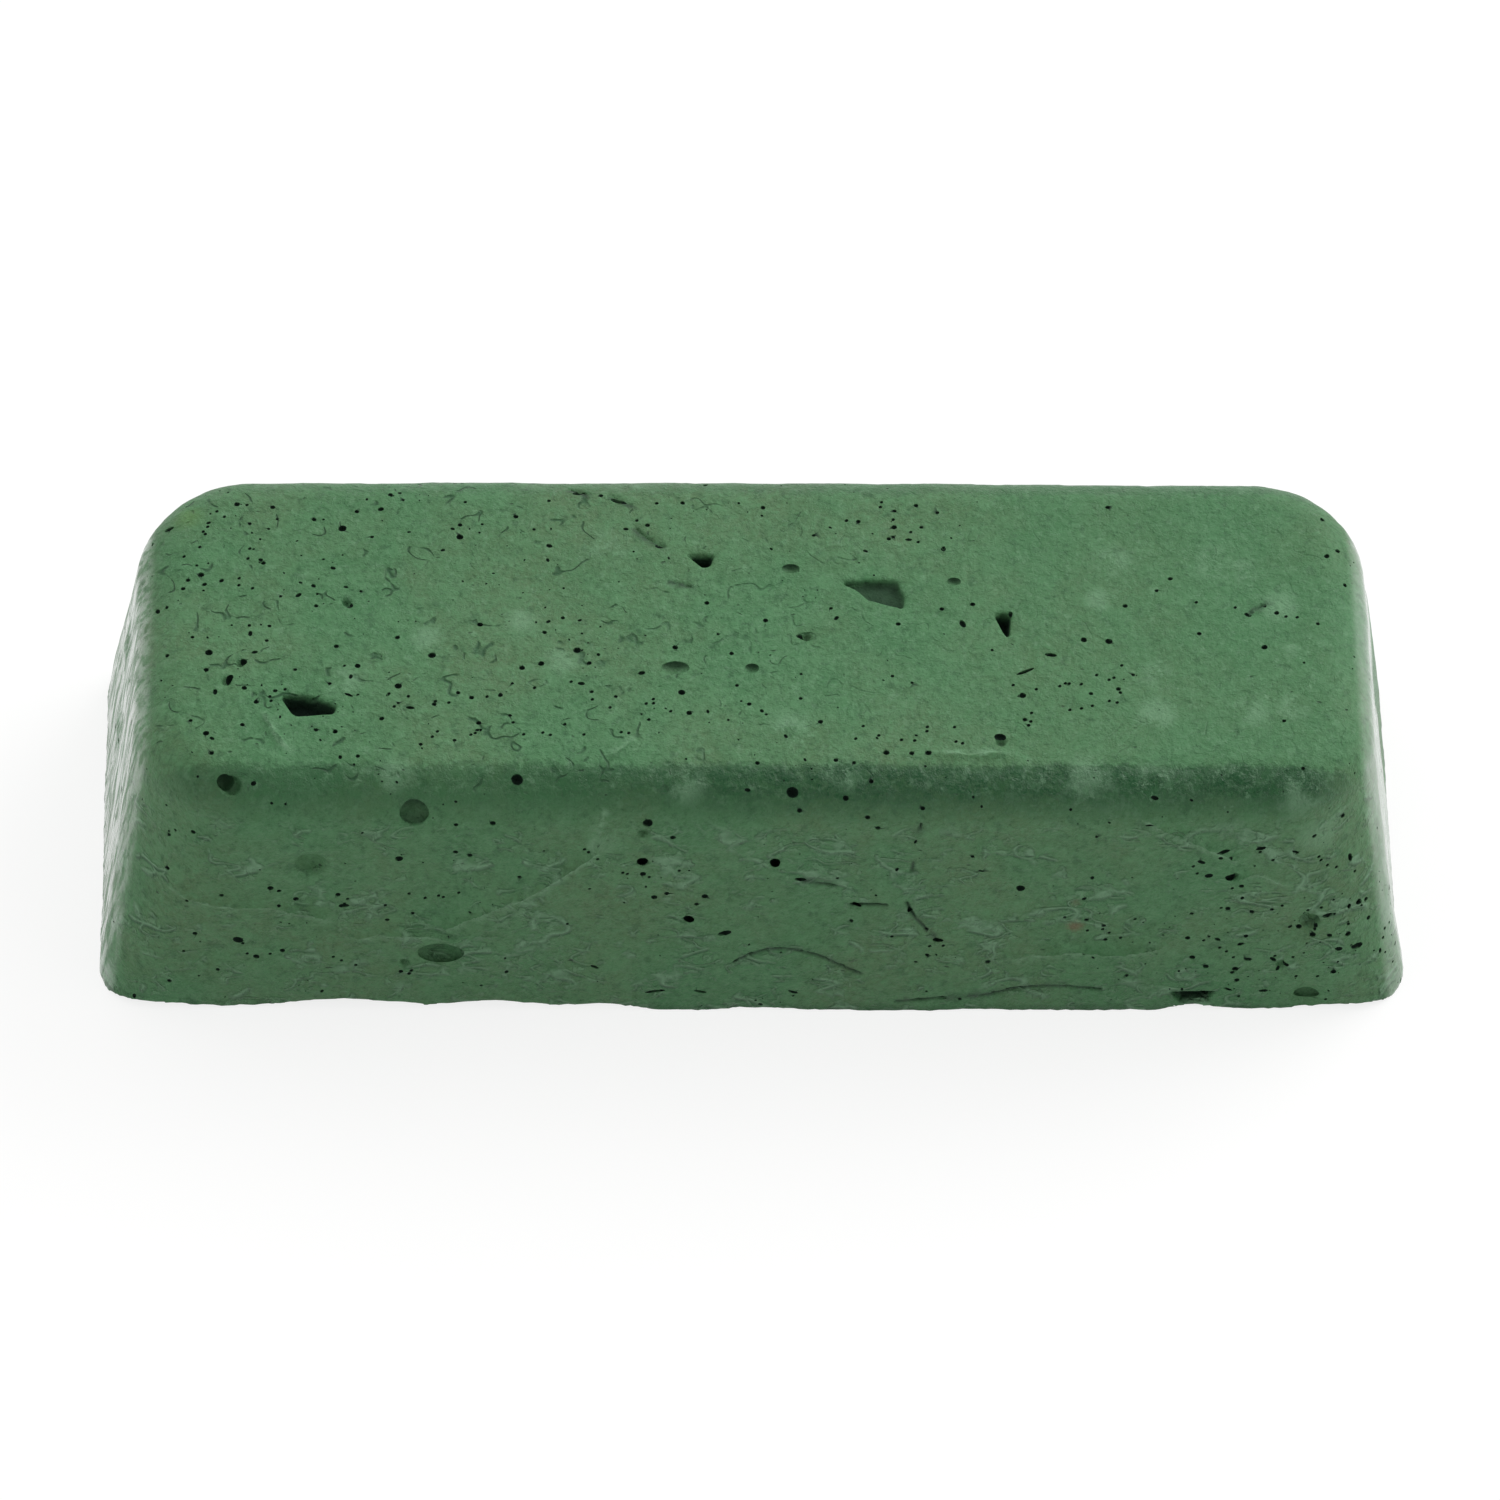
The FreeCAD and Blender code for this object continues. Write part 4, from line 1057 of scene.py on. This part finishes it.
class COMPOUND_OT_stage(bpy.types.Operator):
    """Make the floor, the lights and the camera"""

    bl_idname = "compound.stage"
    bl_label = "Stage"

    def execute(self, context):
        stage = context.scene.compound_stage
        reach = 30 * LENGTH
        corners = [(-reach, -reach, LOW.z), (reach, -reach, LOW.z), (reach, reach, LOW.z), (-reach, reach, LOW.z)]
        plane = bpy.data.meshes.new("floor")
        plane.from_pydata(corners, [], [(0, 1, 2, 3)])
        plane.materials.append(floor_finish(stage))
        linked("floor", plane)

        flat = math.cos(stage.elevation)
        back = Vector((
            math.sin(stage.azimuth) * flat,
            -math.cos(stage.azimuth) * flat,
            math.sin(stage.elevation),
        ))
        sky_light(stage, back)

        lens = bpy.data.cameras.new("camera")
        lens.sensor_width = 36.0
        lens.lens = lens.sensor_width * stage.distance / stage.view_width
        lens.clip_start, lens.clip_end = 0.01, 20.0
        camera = linked("camera", lens)
        right = Vector((math.cos(stage.azimuth), math.sin(stage.azimuth), 0.0))
        up = back.cross(right)
        aimed(camera, MIDDLE + back * stage.distance, MIDDLE - up * stage.drop, stage.roll)
        context.scene.camera = camera

        lamp = bpy.data.lights.new("key", "AREA")
        lamp.shape = "RECTANGLE"
        lamp.size, lamp.size_y = 0.60, 0.60
        lamp.energy = stage.key_power
        aimed(linked("key", lamp), Vector((0.54, 0.42, 0.52)), MIDDLE)

        context.scene.view_settings.view_transform = "Standard"
        return {"FINISHED"}


class COMPOUND_PT_panel(bpy.types.Panel):
    """The pieces of the bar and its stage"""

    bl_label = "Compound Bar"
    bl_idname = "COMPOUND_PT_panel"
    bl_space_type = "VIEW_3D"
    bl_region_type = "UI"
    bl_category = "Compound Bar"

    def draw(self, context):
        for operator in OPERATORS:
            self.layout.operator(operator.bl_idname)
        for group in GROUPS:
            box = self.layout.box()
            settings = getattr(context.scene, group)
            for name in settings.__annotations__:
                box.prop(settings, name)


GROUPS = {
    "compound_casting": CastingProperties,
    "compound_finish": FinishProperties,
    "compound_stage": StageProperties,
}
OPERATORS = (COMPOUND_OT_bar, COMPOUND_OT_stage)


def register():
    for name, group in GROUPS.items():
        bpy.utils.register_class(group)
        setattr(bpy.types.Scene, name, bpy.props.PointerProperty(type=group))
    for operator in OPERATORS:
        bpy.utils.register_class(operator)
    bpy.utils.register_class(COMPOUND_PT_panel)


def unregister():
    bpy.utils.unregister_class(COMPOUND_PT_panel)
    for operator in reversed(OPERATORS):
        bpy.utils.unregister_class(operator)
    for name, group in GROUPS.items():
        delattr(bpy.types.Scene, name)
        bpy.utils.unregister_class(group)


def main():
    register()
    bpy.ops.compound.bar()
    bpy.ops.compound.stage()


if __name__ == "__main__":
    main()
